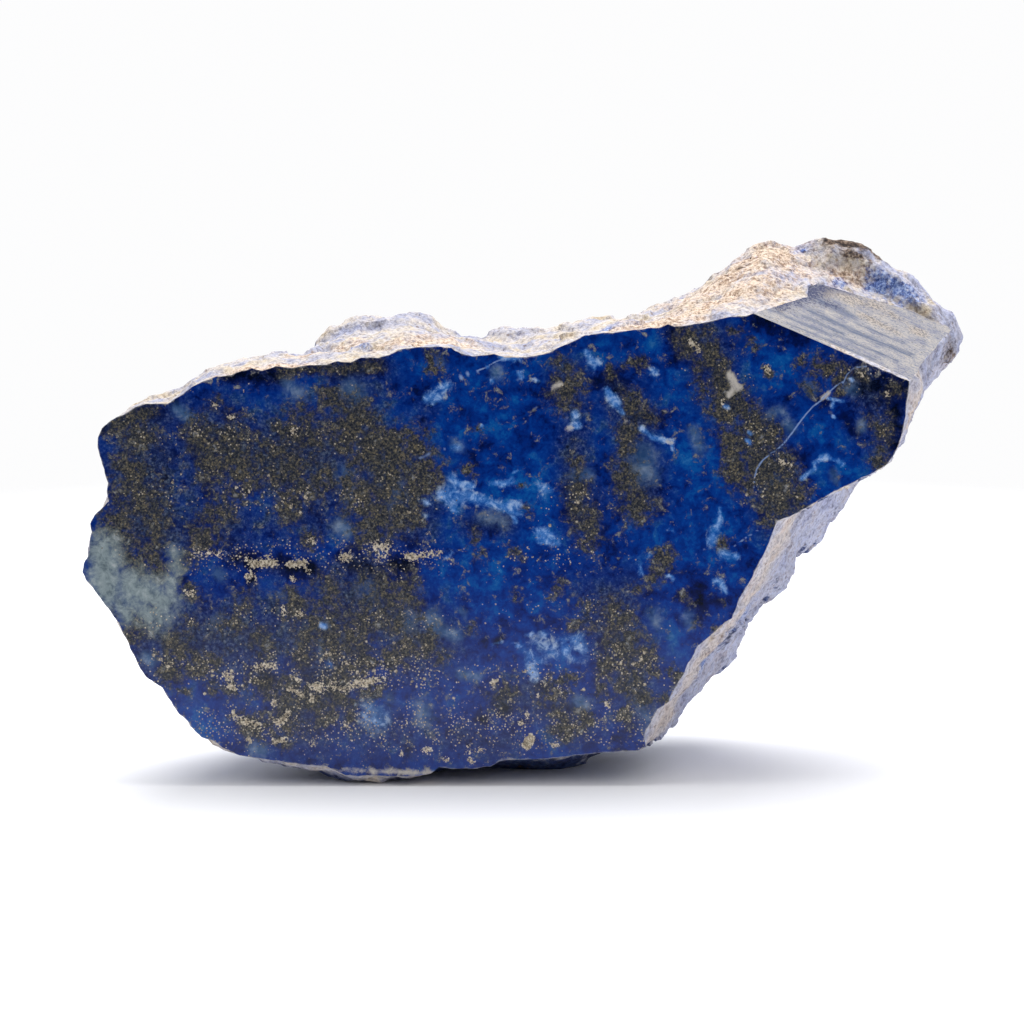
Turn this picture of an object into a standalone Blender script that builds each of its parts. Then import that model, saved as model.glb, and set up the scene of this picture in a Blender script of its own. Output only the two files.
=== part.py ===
# Polished lapis lazuli: a rough chunk of lapis with one large polished face,
# one small sawn facet at its upper right end, and broken natural rock on every other side.
#
# The stone stands on a small flat spot of its underside.
# X runs along the length, -Y is the side of the polished face, +Z is up.
# The drawing below is in millimetres. In it x counts from the left tip of the polished face,
# z counts up, and depth counts back from the polished face.

import math

import bmesh
import bpy
from mathutils import Vector, noise
from mathutils.geometry import delaunay_2d_cdt

MM = 0.001
TOUCHING = 0.05             # points closer to a cutting plane than this count as on it

# Driving dimensions, in millimetres and degrees
FACE_LEAN = 2.5             # the polished face leans back by this many degrees
THICKNESS_LEFT = 24.0       # how deep the stone is at its left tip
THICKNESS_RIGHT = 38.0      # and at its right end
RIGHT_END = 118.0           # x where the right thickness is reached
REST_LEVEL = -0.6           # z of the surface that the stone stands on
BELLY_TOP = 5.0             # what is lower than this is near enough to it to be flattened
MIDDLE = (58.0, 33.0)       # x and z of the point that all bearings are taken from
COLUMN_SPACING = 2.0        # widest gap between two columns of the surface
RIM = 0.91                  # part of the thickness at which the flanks turn into the back
SIDE_PARTS = (0.0, 0.03, 0.08, 0.14, 0.2, 0.27, 0.34, 0.41, 0.48, 0.55, 0.62, 0.69, 0.76, 0.84,
              RIM)              # parts of the thickness at which the flanks have a section
NOTCH_FADING = 26           # how fast the small notches of an edge die out going away from it
BACK_SPACING = 2.5          # between two points of the back
BACK_ROUNDING = 9.0         # the back bulges to its full depth over this distance from its rim

# The outline of the polished face, clockwise from the left tip
POLISHED_OUTLINE = (
    (-0.2, 29.2), (0.0, 30.2), (0.6, 31.4), (0.8, 33.0), (1.1, 34.6), (0.9, 35.8), (1.5, 37.0),
    (2.6, 37.9), (3.5, 38.8), (3.3, 40.2), (3.4, 41.4), (2.9, 43.3), (2.1, 46.2), (2.1, 47.6),
    (2.7, 48.9), (4.0, 50.0), (5.6, 50.7), (7.1, 51.7), (8.7, 52.2), (11.6, 52.2), (12.6, 52.9),
    (13.8, 53.5), (15.0, 54.6), (16.6, 55.3), (18.3, 55.9), (20.4, 56.1), (21.6, 56.7),
    (23.2, 57.0), (24.5, 56.7), (26.3, 57.3), (28.6, 57.1), (31.0, 57.5), (33.2, 57.6),
    (34.8, 58.0), (36.5, 57.8), (38.0, 58.5), (40.3, 58.5), (41.8, 58.9), (43.4, 59.6),
    (45.5, 59.9), (48.4, 60.0), (50.2, 59.8), (51.4, 59.1), (53.0, 58.7), (56.0, 59.0),
    (57.4, 58.6), (59.2, 58.5), (61.5, 58.7), (63.3, 59.1), (65.4, 60.2), (68.3, 61.5),
    (70.2, 61.8), (73.0, 62.0), (76.0, 62.4), (78.6, 62.6), (79.5, 63.0), (80.4, 62.7),
    (82.5, 62.9), (85.0, 63.4), (87.2, 63.9), (90.0, 64.2), (91.0, 64.5),
    (112.3, 55.3), (112.2, 53.8), (111.9, 52.2), (111.7, 50.0), (111.4, 48.3), (111.0, 46.8),
    (110.2, 45.1), (109.3, 43.9), (108.0, 43.0), (106.0, 42.1), (104.0, 41.0), (102.3, 40.3),
    (100.5, 39.2), (97.3, 37.3), (95.8, 36.6), (94.5, 36.2), (94.0, 35.0), (93.4, 33.0),
    (92.6, 31.4), (90.6, 27.4), (89.5, 25.6), (88.9, 24.0), (88.4, 22.8), (87.0, 21.8),
    (85.2, 20.1), (83.8, 19.0), (83.3, 17.8), (82.5, 16.6), (81.9, 15.1), (80.3, 12.3),
    (79.9, 11.2), (78.4, 10.2), (77.6, 8.7), (76.8, 7.4), (76.5, 6.0), (76.9, 4.9),
    (75.8, 4.4), (73.5, 4.3), (70.5, 4.1), (67.5, 3.8), (64.5, 3.4), (61.5, 3.2), (58.5, 3.2),
    (56.6, 2.9), (55.4, 2.2), (53.0, 1.9), (50.0, 1.9), (48.3, 2.1), (47.2, 1.2), (45.5, 0.9),
    (43.5, 0.9), (39.5, 0.9), (37.0, 0.9), (35.5, 1.0), (34.3, 1.6), (32.8, 2.2), (30.5, 2.4),
    (28.0, 2.7), (25.5, 3.1), (22.5, 3.5), (20.5, 3.9), (19.0, 4.7), (17.6, 5.7), (15.8, 6.3),
    (14.7, 7.4), (14.0, 8.5), (12.8, 9.5), (11.3, 11.8), (10.5, 13.1), (8.3, 14.7), (7.5, 15.8),
    (6.9, 17.2), (5.3, 20.6), (4.7, 22.1), (3.8, 23.3), (2.2, 25.6), (1.2, 27.0), (0.2, 28.1),
)

# The outline of the back's rim, clockwise from the left end
REAR_OUTLINE = (
    (11.5, 30.0), (10.5, 36.0), (11.0, 42.0), (12.0, 46.2), (13.5, 49.3), (14.9, 51.2),
    (16.4, 52.3), (18.7, 53.1), (20.8, 53.8), (22.6, 54.2), (24.8, 54.5), (27.0, 55.0),
    (29.2, 56.0), (31.0, 57.2), (33.2, 58.6), (35.5, 59.9), (37.7, 60.6), (39.5, 61.0),
    (42.2, 61.1), (44.9, 60.9), (47.0, 60.5), (49.0, 59.8), (51.2, 59.2), (53.4, 58.7),
    (54.7, 58.3), (56.5, 58.1), (59.2, 58.4), (62.0, 58.6), (65.5, 58.8), (67.3, 59.4),
    (69.2, 59.9), (71.4, 60.2), (73.2, 60.8), (75.5, 61.0), (79.0, 61.7), (80.7, 62.4),
    (82.3, 63.3), (84.0, 64.5), (86.0, 65.7), (87.6, 66.7), (88.6, 67.6), (89.6, 68.2),
    (91.1, 68.6), (92.1, 69.4), (93.7, 70.4), (94.7, 71.2), (96.7, 71.9), (98.6, 72.4),
    (100.5, 72.5), (102.5, 72.2), (104.1, 72.7), (105.0, 72.4), (106.7, 71.2), (108.0, 70.4),
    (110.0, 69.4), (111.0, 68.5), (112.4, 67.5), (114.4, 66.6), (115.8, 66.0), (117.4, 65.1),
    (118.6, 64.0), (119.8, 62.5), (121.3, 60.2), (122.6, 58.2), (123.0, 56.8), (122.4, 54.6),
    (120.8, 52.8), (119.2, 50.8), (117.2, 49.0), (115.4, 47.0), (113.9, 45.2), (112.8, 43.0),
    (110.8, 40.0), (108.7, 37.6), (106.5, 35.0), (105.6, 32.2), (104.4, 30.0), (103.4, 28.4),
    (102.2, 26.4), (100.9, 25.2), (99.7, 23.1), (98.9, 21.3), (97.4, 19.7), (95.4, 18.8),
    (93.6, 16.8), (92.3, 15.3), (91.2, 13.5), (90.2, 11.9), (89.5, 9.9), (88.4, 8.4),
    (86.6, 7.2), (84.2, 6.2), (81.0, 5.4), (76.0, 5.0), (68.0, 4.2), (58.0, 4.0), (48.0, 4.0),
    (40.0, 4.6), (32.0, 7.0), (26.0, 9.0), (21.0, 12.0), (17.0, 16.0), (14.0, 20.5), (12.3, 25.0),
)

# How far the flanks swell halfway back: the shoulder of the top and the belly of the underside
MID_SWELL = (
    (18, 0.0), (23, 1.8), (38, 1.5), (43, 0.2), (47, 0.0), (110, 0.0), (125, 0.0), (139.5, 0.7),
    (145, 1.1), (149, 1.2), (159, 0.3), (166, 0.0), (204, 0.0), (212, 0.8), (218, 1.8),
    (223, 3.2), (227.5, 4.1), (237, 3.6), (246, 3.4), (256, 3.9), (268, 4.4), (281.5, 4.2),
    (292.6, 3.0), (300, 3.0), (308, 3.2), (316, 1.2), (325, 0.2), (335, 0.0),
)

# The natural breaks that flatten the back: a point on each (x, depth, z) and the way it faces
BREAKS = (
    ((50.0, 30.0, 14.0), (-0.10, 0.84, -0.53)),
    ((20.0, 22.0, 36.0), (-0.42, 0.90, 0.10)),
    ((66.0, 36.0, 50.0), (-0.12, 0.90, 0.42)),
    ((108.0, 37.0, 50.0), (0.20, 0.97, 0.10)),
    ((58.0, 33.0, 36.0), (-0.08, 0.99, -0.02)),
)

# Lumps and pits with a place of their own: x, depth, z, radius and height in millimetres
LUMPS = (
    (105.0, 33.0, 70.5, 4.5, 0.9),      # the knob over the sawn facet
    (97.0, 20.0, 24.0, 3.6, 1.2),       # the nose on the lower right flank
    (65.0, 13.5, 1.0, 4.0, 1.8),        # the dark foot under the lower edge
    (50.0, 5.0, 0.5, 6.0, -1.3),        # hollows between the lower edge and the resting spot
    (58.5, 6.0, 1.0, 7.0, -1.9),
    (71.0, 6.0, 1.5, 6.0, -1.2),
    (41.0, 22.0, 60.0, 7.0, 0.5),
    (30.0, 29.0, 40.0, 6.0, 1.4),
    (74.0, 34.0, 26.0, 7.0, 1.6),
    (54.0, 31.0, 50.0, 4.5, -1.5),
    (88.0, 36.0, 40.0, 5.0, -1.4),
    (44.0, 30.0, 20.0, 5.0, -1.3),
)

# The sawn facet: its line on the polished face, its tilt towards the viewer,
# the end of its left edge, and the depth at which the cut stopped and the rest snapped off
FACET_LEFT = (91.0, 64.5)
FACET_RIGHT = (112.3, 55.3)
FACET_TILT = 16.5
FACET_TIP = (103.6, 22.8)   # x and depth of the far end of the left edge
FACET_DEPTH = 26.0
FACET_FILL = 1.2            # hollows in the way of the saw that are shallower than this are levelled
SNAP_TILT = 50.0            # how steeply the snapped edge rises behind the cut

# The slope of the rind left of the facet: where it meets the back's rim, and how far right it goes
RIND_TOP = (97.0, 34.5, 72.2)
RIND_DROP = 0.8             # it lies this much below the saw's plane at the facet's left edge
RIND_END = 101.0
CORNER = (87.0, 49.0)       # the sawn corner is right of this x and above this z

# Roughness of the broken surface: swells, chips with flat tilted faces, and coarse grain
LUMP_SIZE, LUMP_HEIGHT = 17.0, 0.9
CHIP_SIZE, CHIP_HEIGHT, CHIP_TILT = 12.0, 0.5, 0.11
FLAKE_SIZE, FLAKE_HEIGHT, FLAKE_TILT = 6.0, 0.2, 0.09
GRAIN_SIZE, GRAIN_HEIGHT = 4.0, 0.4
FADE_DEPTH = 6.0            # the roughness grows to its full height over this depth
SMOOTHING = 1               # passes that take the spikes off the steps between chips

ROCK_COLOUR = (0.022, 0.075, 0.33)


def clear_scene():
    for old in list(bpy.data.objects):
        bpy.data.objects.remove(old, do_unlink=True)


def smooth_step(low, high, value):
    t = min(max((value - low) / (high - low), 0.0), 1.0)
    return t * t * (3.0 - 2.0 * t)


def around(table, bearing):
    """Read a table of (bearing, value) rows at a bearing, from row to row round the circle."""
    rows = [(table[-1][0] - 360.0, table[-1][1]), *table, (table[0][0] + 360.0, table[0][1])]
    for (low, start), (high, end) in zip(rows, rows[1:]):
        if low <= bearing <= high:
            return start + (end - start) * (bearing - low) / (high - low)
    return 0.0


def polar(points):
    """Points of an outline as (bearing, distance) from the middle, by growing bearing."""
    rows = []
    for x, z in points:
        dx, dz = x - MIDDLE[0], z - MIDDLE[1]
        rows.append((math.degrees(math.atan2(dz, dx)) % 360.0, math.hypot(dx, dz)))
    return sorted(rows)


def columns():
    """The outline's points, with more between the ones that stand far apart."""
    points = []
    for (x0, z0), (x1, z1) in zip(POLISHED_OUTLINE, POLISHED_OUTLINE[1:] + POLISHED_OUTLINE[:1]):
        pieces = max(1, math.ceil(math.hypot(x1 - x0, z1 - z0) / COLUMN_SPACING))
        for i in range(pieces):
            points.append((x0 + (x1 - x0) * i / pieces, z0 + (z1 - z0) * i / pieces))
    return points


def thickness(x):
    share = min(max(x / RIGHT_END, 0.0), 1.0)
    return THICKNESS_LEFT + (THICKNESS_RIGHT - THICKNESS_LEFT) * share


def evened(radii, passes):
    """Radii with the small notches worn down, more so with more passes."""
    for _ in range(passes):
        radii = [(radii[i - 1] + 2.0 * radii[i] + radii[(i + 1) % len(radii)]) / 4.0
                 for i in range(len(radii))]
    return radii


def section(outline, part):
    """The stone's outline at one part of its thickness, as points (x, depth, z)."""
    rear = polar(REAR_OUTLINE)
    share = part / RIM
    front = polar(outline)
    bearings = [bearing for bearing, _ in front]
    radii = evened([radius for _, radius in front], round(NOTCH_FADING * share))
    reaches = evened([around(rear, bearing) for bearing in bearings],
                     round(NOTCH_FADING * (1.0 - share)))
    swelling = max(0.0, 1.0 - (2.0 * share - 1.0) ** 2) ** 0.8
    points = []
    for bearing, radius, reach in zip(bearings, radii, reaches):
        ramp = share if reach > radius else share ** 1.7
        radius += (reach - radius) * ramp + around(MID_SWELL, bearing) * swelling
        x = MIDDLE[0] + radius * math.cos(math.radians(bearing))
        z = MIDDLE[1] + radius * math.sin(math.radians(bearing))
        lean = z * math.tan(math.radians(FACE_LEAN)) * (1.0 - part)
        points.append((x, lean + part * thickness(x), z))
    return points


def close_back(bm, rim):
    """Fill the rim of the back with an even net of triangles that bulges out behind it."""
    border = [Vector((vert.co.x, vert.co.z)) for vert in rim]
    low_x, high_x = min(p.x for p in border), max(p.x for p in border)
    low_z, high_z = min(p.y for p in border), max(p.y for p in border)
    net = []
    for row in range(int((high_z - low_z) / (BACK_SPACING * 0.87)) + 1):
        for column in range(int((high_x - low_x) / BACK_SPACING) + 1):
            x = low_x + BACK_SPACING * (column + 0.5 * (row % 2))
            point = Vector((x, low_z + BACK_SPACING * 0.87 * row))
            if min((point - other).length for other in border) > 0.6 * BACK_SPACING:
                net.append(point)
    shape = [list(range(len(border)))]
    points, _, faces, origins, _, _ = delaunay_2d_cdt(border + net, [], shape, 1, 0.0001)
    verts = {}
    for index in sorted({index for face in faces for index in face}):
        if origins[index][0] < len(border):
            verts[index] = rim[origins[index][0]]
            continue
        x, z = points[index]
        inwards = min(1.0, min((points[index] - other).length for other in border) / BACK_ROUNDING)
        bulge = (1.0 - RIM) * (1.0 - (1.0 - inwards) ** 2)
        verts[index] = bm.verts.new((x, thickness(x) * (RIM + bulge), z))
    for face in faces:
        bm.faces.new([verts[index] for index in face])


def loft():
    """The stone's skin: sections through the flanks, a net over the back, one face in front."""
    outline = columns()
    bm = bmesh.new()
    loops = [[bm.verts.new(point) for point in section(outline, part)] for part in SIDE_PARTS]
    for near, far in zip(loops, loops[1:]):
        for i in range(len(near)):
            bm.faces.new((near[i - 1], near[i], far[i], far[i - 1]))
    bm.faces.new(reversed(loops[0]))
    close_back(bm, loops[-1])
    bmesh.ops.recalc_face_normals(bm, faces=bm.faces)
    return bm, set(loops[0])


def press(bm, point, normal, inside, keep):
    """Push every vertex that stands proud of a plane, and is inside, back onto the plane."""
    for vert in bm.verts:
        height = (vert.co - point).dot(normal)
        if vert not in keep and height > 0.0 and inside(vert.co):
            vert.co -= normal * height


def split_along(bm, point, normal, inside):
    """Cut new edges where a plane crosses the skin, without taking anything away."""
    faces = [face for face in bm.faces if inside(face.calc_center_median())]
    edges = {edge for face in faces for edge in face.edges}
    verts = {vert for face in faces for vert in face.verts}
    region = faces + list(edges) + list(verts)
    bmesh.ops.bisect_plane(bm, geom=region, plane_co=point, plane_no=normal, dist=TOUCHING)


def chips(at, size, height, tilt):
    """How far a point stands out on a surface broken into flat faces of about one size."""
    centre = noise.voronoi(at / size)[1][0]
    facing = 2.0 * noise.cell_vector(centre * 9.7) - Vector((1.0, 1.0, 1.0))
    return facing.z * height + (at - centre * size).dot(facing) * tilt


def add_roughness(bm, keep):
    """Swells, chips and coarse grain, growing from nothing at the polished edge."""
    bm.normal_update()
    moves = {}
    for vert in bm.verts:
        if vert in keep:
            continue
        at = vert.co
        swell = noise.fractal(at / LUMP_SIZE, 1.0, 2.0, 2) * LUMP_HEIGHT
        grain = noise.fractal(at / GRAIN_SIZE + Vector((7.0, 3.0, 1.0)), 0.8, 2.1, 3) * GRAIN_HEIGHT
        broken = chips(at, CHIP_SIZE, CHIP_HEIGHT, CHIP_TILT)
        flakes = chips(at, FLAKE_SIZE, FLAKE_HEIGHT, FLAKE_TILT)
        back = smooth_step(0.55, 0.95, at.y / thickness(at.x))
        rough = smooth_step(0.0, FADE_DEPTH, at.y - at.z * math.tan(math.radians(FACE_LEAN)))
        moves[vert] = vert.normal * rough * ((swell + broken) * (0.55 + back) + flakes + grain)
    for vert, move in moves.items():
        vert.co += move
    loose = [vert for vert in bm.verts if vert not in keep]
    for _ in range(SMOOTHING):
        bmesh.ops.smooth_vert(
            bm, verts=loose, factor=0.5, use_axis_x=True, use_axis_y=True, use_axis_z=True)


def add_lumps(bm, keep):
    bm.normal_update()
    for x, depth, z, radius, height in LUMPS:
        centre = Vector((x, depth, z))
        for vert in bm.verts:
            if vert not in keep:
                distance = (vert.co - centre).length / radius
                vert.co += vert.normal * height * math.exp(-distance * distance)


def facet_plane():
    """A point on the sawn facet and its outward normal."""
    tilt = math.radians(FACET_TILT)
    left = Vector((FACET_LEFT[0], FACET_LEFT[1] * math.tan(math.radians(FACE_LEAN)), FACET_LEFT[1]))
    run = Vector((FACET_RIGHT[0] - FACET_LEFT[0], 0.0, FACET_RIGHT[1] - FACET_LEFT[1])).normalized()
    outwards = Vector((-run.z, 0.0, run.x))
    return left, outwards * math.cos(tilt) - Vector((0.0, 1.0, 0.0)) * math.sin(tilt)


def facet_edge(left, normal):
    """The left edge of the facet as its far end and the way that the wall along it faces."""
    x, depth = FACET_TIP
    drop = (x - left.x) * normal.x + (depth - left.y) * normal.y
    tip = Vector((x, depth, left.z - drop / normal.z))
    return tip, (tip - left).cross(normal).normalized()


def in_corner(at):
    """Whether a point is near the sawn corner."""
    return at.x > CORNER[0] and at.z > CORNER[1]


def slope_rind(bm, drop, keep):
    """Lay the rind left of the facet on a slope that stays below the saw's plane."""
    left, normal = facet_plane()
    tip, _ = facet_edge(left, normal)
    slope = (tip - left).cross(Vector(RIND_TOP) - left).normalized()
    press(bm, left - slope * drop, slope, lambda at: in_corner(at) and at.x < RIND_END, keep)


def cut_facet(bm, keep):
    """Saw the upper right corner flat, down to the depth where the cut stopped."""
    left, normal = facet_plane()
    _, wall = facet_edge(left, normal)
    for point, facing in ((left, wall), (Vector((0.0, FACET_DEPTH, 0.0)), Vector((0.0, 1.0, 0.0)))):
        split_along(bm, point, facing, in_corner)
    split_along(bm, left, normal, in_corner)
    rise = math.tan(math.radians(SNAP_TILT))
    for vert in bm.verts:
        if vert in keep or not in_corner(vert.co):
            continue
        height = (vert.co - left).dot(normal)
        behind = vert.co.y - FACET_DEPTH
        sawn = (vert.co - left).dot(wall) > -0.01 and behind < 0.01
        if sawn and height > -FACET_FILL:
            vert.co -= normal * height
        elif height > rise * max(0.0, behind):
            vert.co -= normal * (height - rise * max(0.0, behind))


def cut_rest_spot(bm, keep):
    """Flatten what would reach below the surface that the stone stands on."""
    ground = Vector((0.0, 0.0, REST_LEVEL))
    split_along(bm, ground, Vector((0.0, 0.0, 1.0)), lambda at: at.z < BELLY_TOP)
    press(bm, ground, Vector((0.0, 0.0, -1.0)), lambda at: True, keep)


def centre_over_origin(bm):
    """Move the stone so that the origin is under the middle of its box, and scale it to metres."""
    lows = [min(vert.co[axis] for vert in bm.verts) for axis in range(3)]
    highs = [max(vert.co[axis] for vert in bm.verts) for axis in range(3)]
    origin = Vector(((lows[0] + highs[0]) / 2.0, (lows[1] + highs[1]) / 2.0, REST_LEVEL))
    for vert in bm.verts:
        vert.co = (vert.co - origin) * MM


def rock_material():
    material = bpy.data.materials.new("lapis rock")
    material.use_nodes = True
    shader = material.node_tree.nodes["Principled BSDF"]
    shader.inputs["Base Color"].default_value = (*ROCK_COLOUR, 1.0)
    shader.inputs["Roughness"].default_value = 0.35
    shader.inputs["Metallic"].default_value = 0.0
    return material


def stone_mesh():
    bm, polished_edge = loft()
    for point, normal in BREAKS:
        facing = Vector(normal).normalized()
        press(bm, Vector(point), facing, lambda at: at.y > 0.5 * thickness(at.x), polished_edge)
    slope_rind(bm, RIND_DROP, polished_edge)
    add_roughness(bm, polished_edge)
    add_lumps(bm, polished_edge)
    slope_rind(bm, 0.0, polished_edge)
    cut_facet(bm, polished_edge)
    cut_rest_spot(bm, polished_edge)
    bmesh.ops.triangulate(bm, faces=bm.faces)
    centre_over_origin(bm)
    mesh = bpy.data.meshes.new("lapis_lazuli")
    bm.to_mesh(mesh)
    bm.free()
    return mesh


def main():
    clear_scene()
    stone = bpy.data.objects.new("lapis_lazuli", stone_mesh())
    stone.data.materials.append(rock_material())
    collection = bpy.data.collections.new("polished_lapis_lazuli")
    bpy.context.scene.collection.children.link(collection)
    collection.objects.link(stone)


main()
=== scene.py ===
# The polished lapis lazuli: one stone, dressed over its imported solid, with its floor, light and camera.
# Places are given in drawing millimetres: x from the left tip of the polished face, depth back from
# that face's foot, and z up. Everything in Blender is in metres.

import math
from functools import partial

import bmesh
import bpy
import numpy as np
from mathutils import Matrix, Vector, kdtree, noise


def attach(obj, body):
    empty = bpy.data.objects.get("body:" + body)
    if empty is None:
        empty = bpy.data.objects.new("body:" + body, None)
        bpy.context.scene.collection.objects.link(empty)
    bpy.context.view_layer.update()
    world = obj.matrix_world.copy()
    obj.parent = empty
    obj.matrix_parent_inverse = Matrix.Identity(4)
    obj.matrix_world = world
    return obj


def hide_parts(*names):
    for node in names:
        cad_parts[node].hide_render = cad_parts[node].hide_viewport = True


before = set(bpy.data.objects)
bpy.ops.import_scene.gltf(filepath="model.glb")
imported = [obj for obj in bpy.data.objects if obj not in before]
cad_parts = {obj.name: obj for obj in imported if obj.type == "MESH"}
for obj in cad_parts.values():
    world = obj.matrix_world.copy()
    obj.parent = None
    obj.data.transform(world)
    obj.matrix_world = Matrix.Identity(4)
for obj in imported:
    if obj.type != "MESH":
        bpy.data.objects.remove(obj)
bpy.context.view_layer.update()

mm = 0.001
drawingOrigin = Vector((61.295, 18.707, -0.6))      # the frame's origin in the drawing


def colour(hexValue):
    # an sRGB hex value as linear red, green, blue and alpha
    parts = [int(hexValue[i:i + 2], 16) / 255.0 for i in (1, 3, 5)]
    return [p / 12.92 if p <= 0.04045 else ((p + 0.055) / 1.055) ** 2.4 for p in parts] + [1.0]


def addNode(tree, kind, inputs=None, output=0, stops=None, **settings):
    # add a node, set and link its inputs, and give back one of its outputs
    node = tree.nodes.new("ShaderNode" + kind)
    for name, value in settings.items():
        setattr(node, name, value)
    for name, value in (inputs or {}).items():
        if isinstance(value, bpy.types.NodeSocket):
            tree.links.new(value, node.inputs[name])
        else:
            node.inputs[name].default_value = value
    if stops:
        elements = node.color_ramp.elements
        while len(elements) < len(stops):
            elements.new(0.5)
        for element, (place, hexValue) in zip(elements, stops):
            element.position = place
            element.color = colour(hexValue)
    return node.outputs[output]


# The stone's shape

stone = {
    "node": "lapis_lazuli",
    "faceLean": 2.5,                # degrees that the polished face leans back
    "facetLeft": (91.0, 64.5),      # the sawn facet's line on the polished face, x and z
    "facetRight": (112.3, 55.3),
    "facetTilt": 16.5,              # degrees that the facet tips towards the viewer
    "faceEdge": 0.65,               # longest mesh edges in millimetres: on the polished face
    "fineEdge": 0.25,               # and never shorter there, near its thinnest marks
    "sawnEdge": 0.5,                # on the sawn facet
    "rindEdge": 0.6,                # on the rind that shows from in front
    "backEdge": 1.2,                # and everywhere else
    "passes": 6,                    # halvings from the solid's long edges to these
    "faceMatch": (0.9998, 0.03),    # how square, and how near in millimetres, a face of the solid
    "facetMatch": (0.999, 0.05),    # lies to the polished plane, and to the facet's
    "flankStarts": 76.0,            # x from which the rind shows from in front as the right flank
    "flankDepth": 34.0,             # and how deep it does
    "softening": 3,                 # smoothing passes that round the solid's flat triangles
}

faceTilt = math.radians(stone["faceLean"])
faceNormal = Vector((0.0, -math.cos(faceTilt), math.sin(faceTilt)))
facetRun = Vector((stone["facetRight"][0] - stone["facetLeft"][0], 0.0,
                   stone["facetRight"][1] - stone["facetLeft"][1])).normalized()
facetLean = math.radians(stone["facetTilt"])
facetNormal = Vector((-facetRun.z, 0.0, facetRun.x)) * math.cos(facetLean)
facetNormal.y = -math.sin(facetLean)
facetStart = Vector((stone["facetLeft"][0], stone["facetLeft"][1] * math.tan(faceTilt),
                     stone["facetLeft"][1]))
polished, sawn, rough = 0, 1, 2     # the stone's three surfaces, as material numbers


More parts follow.
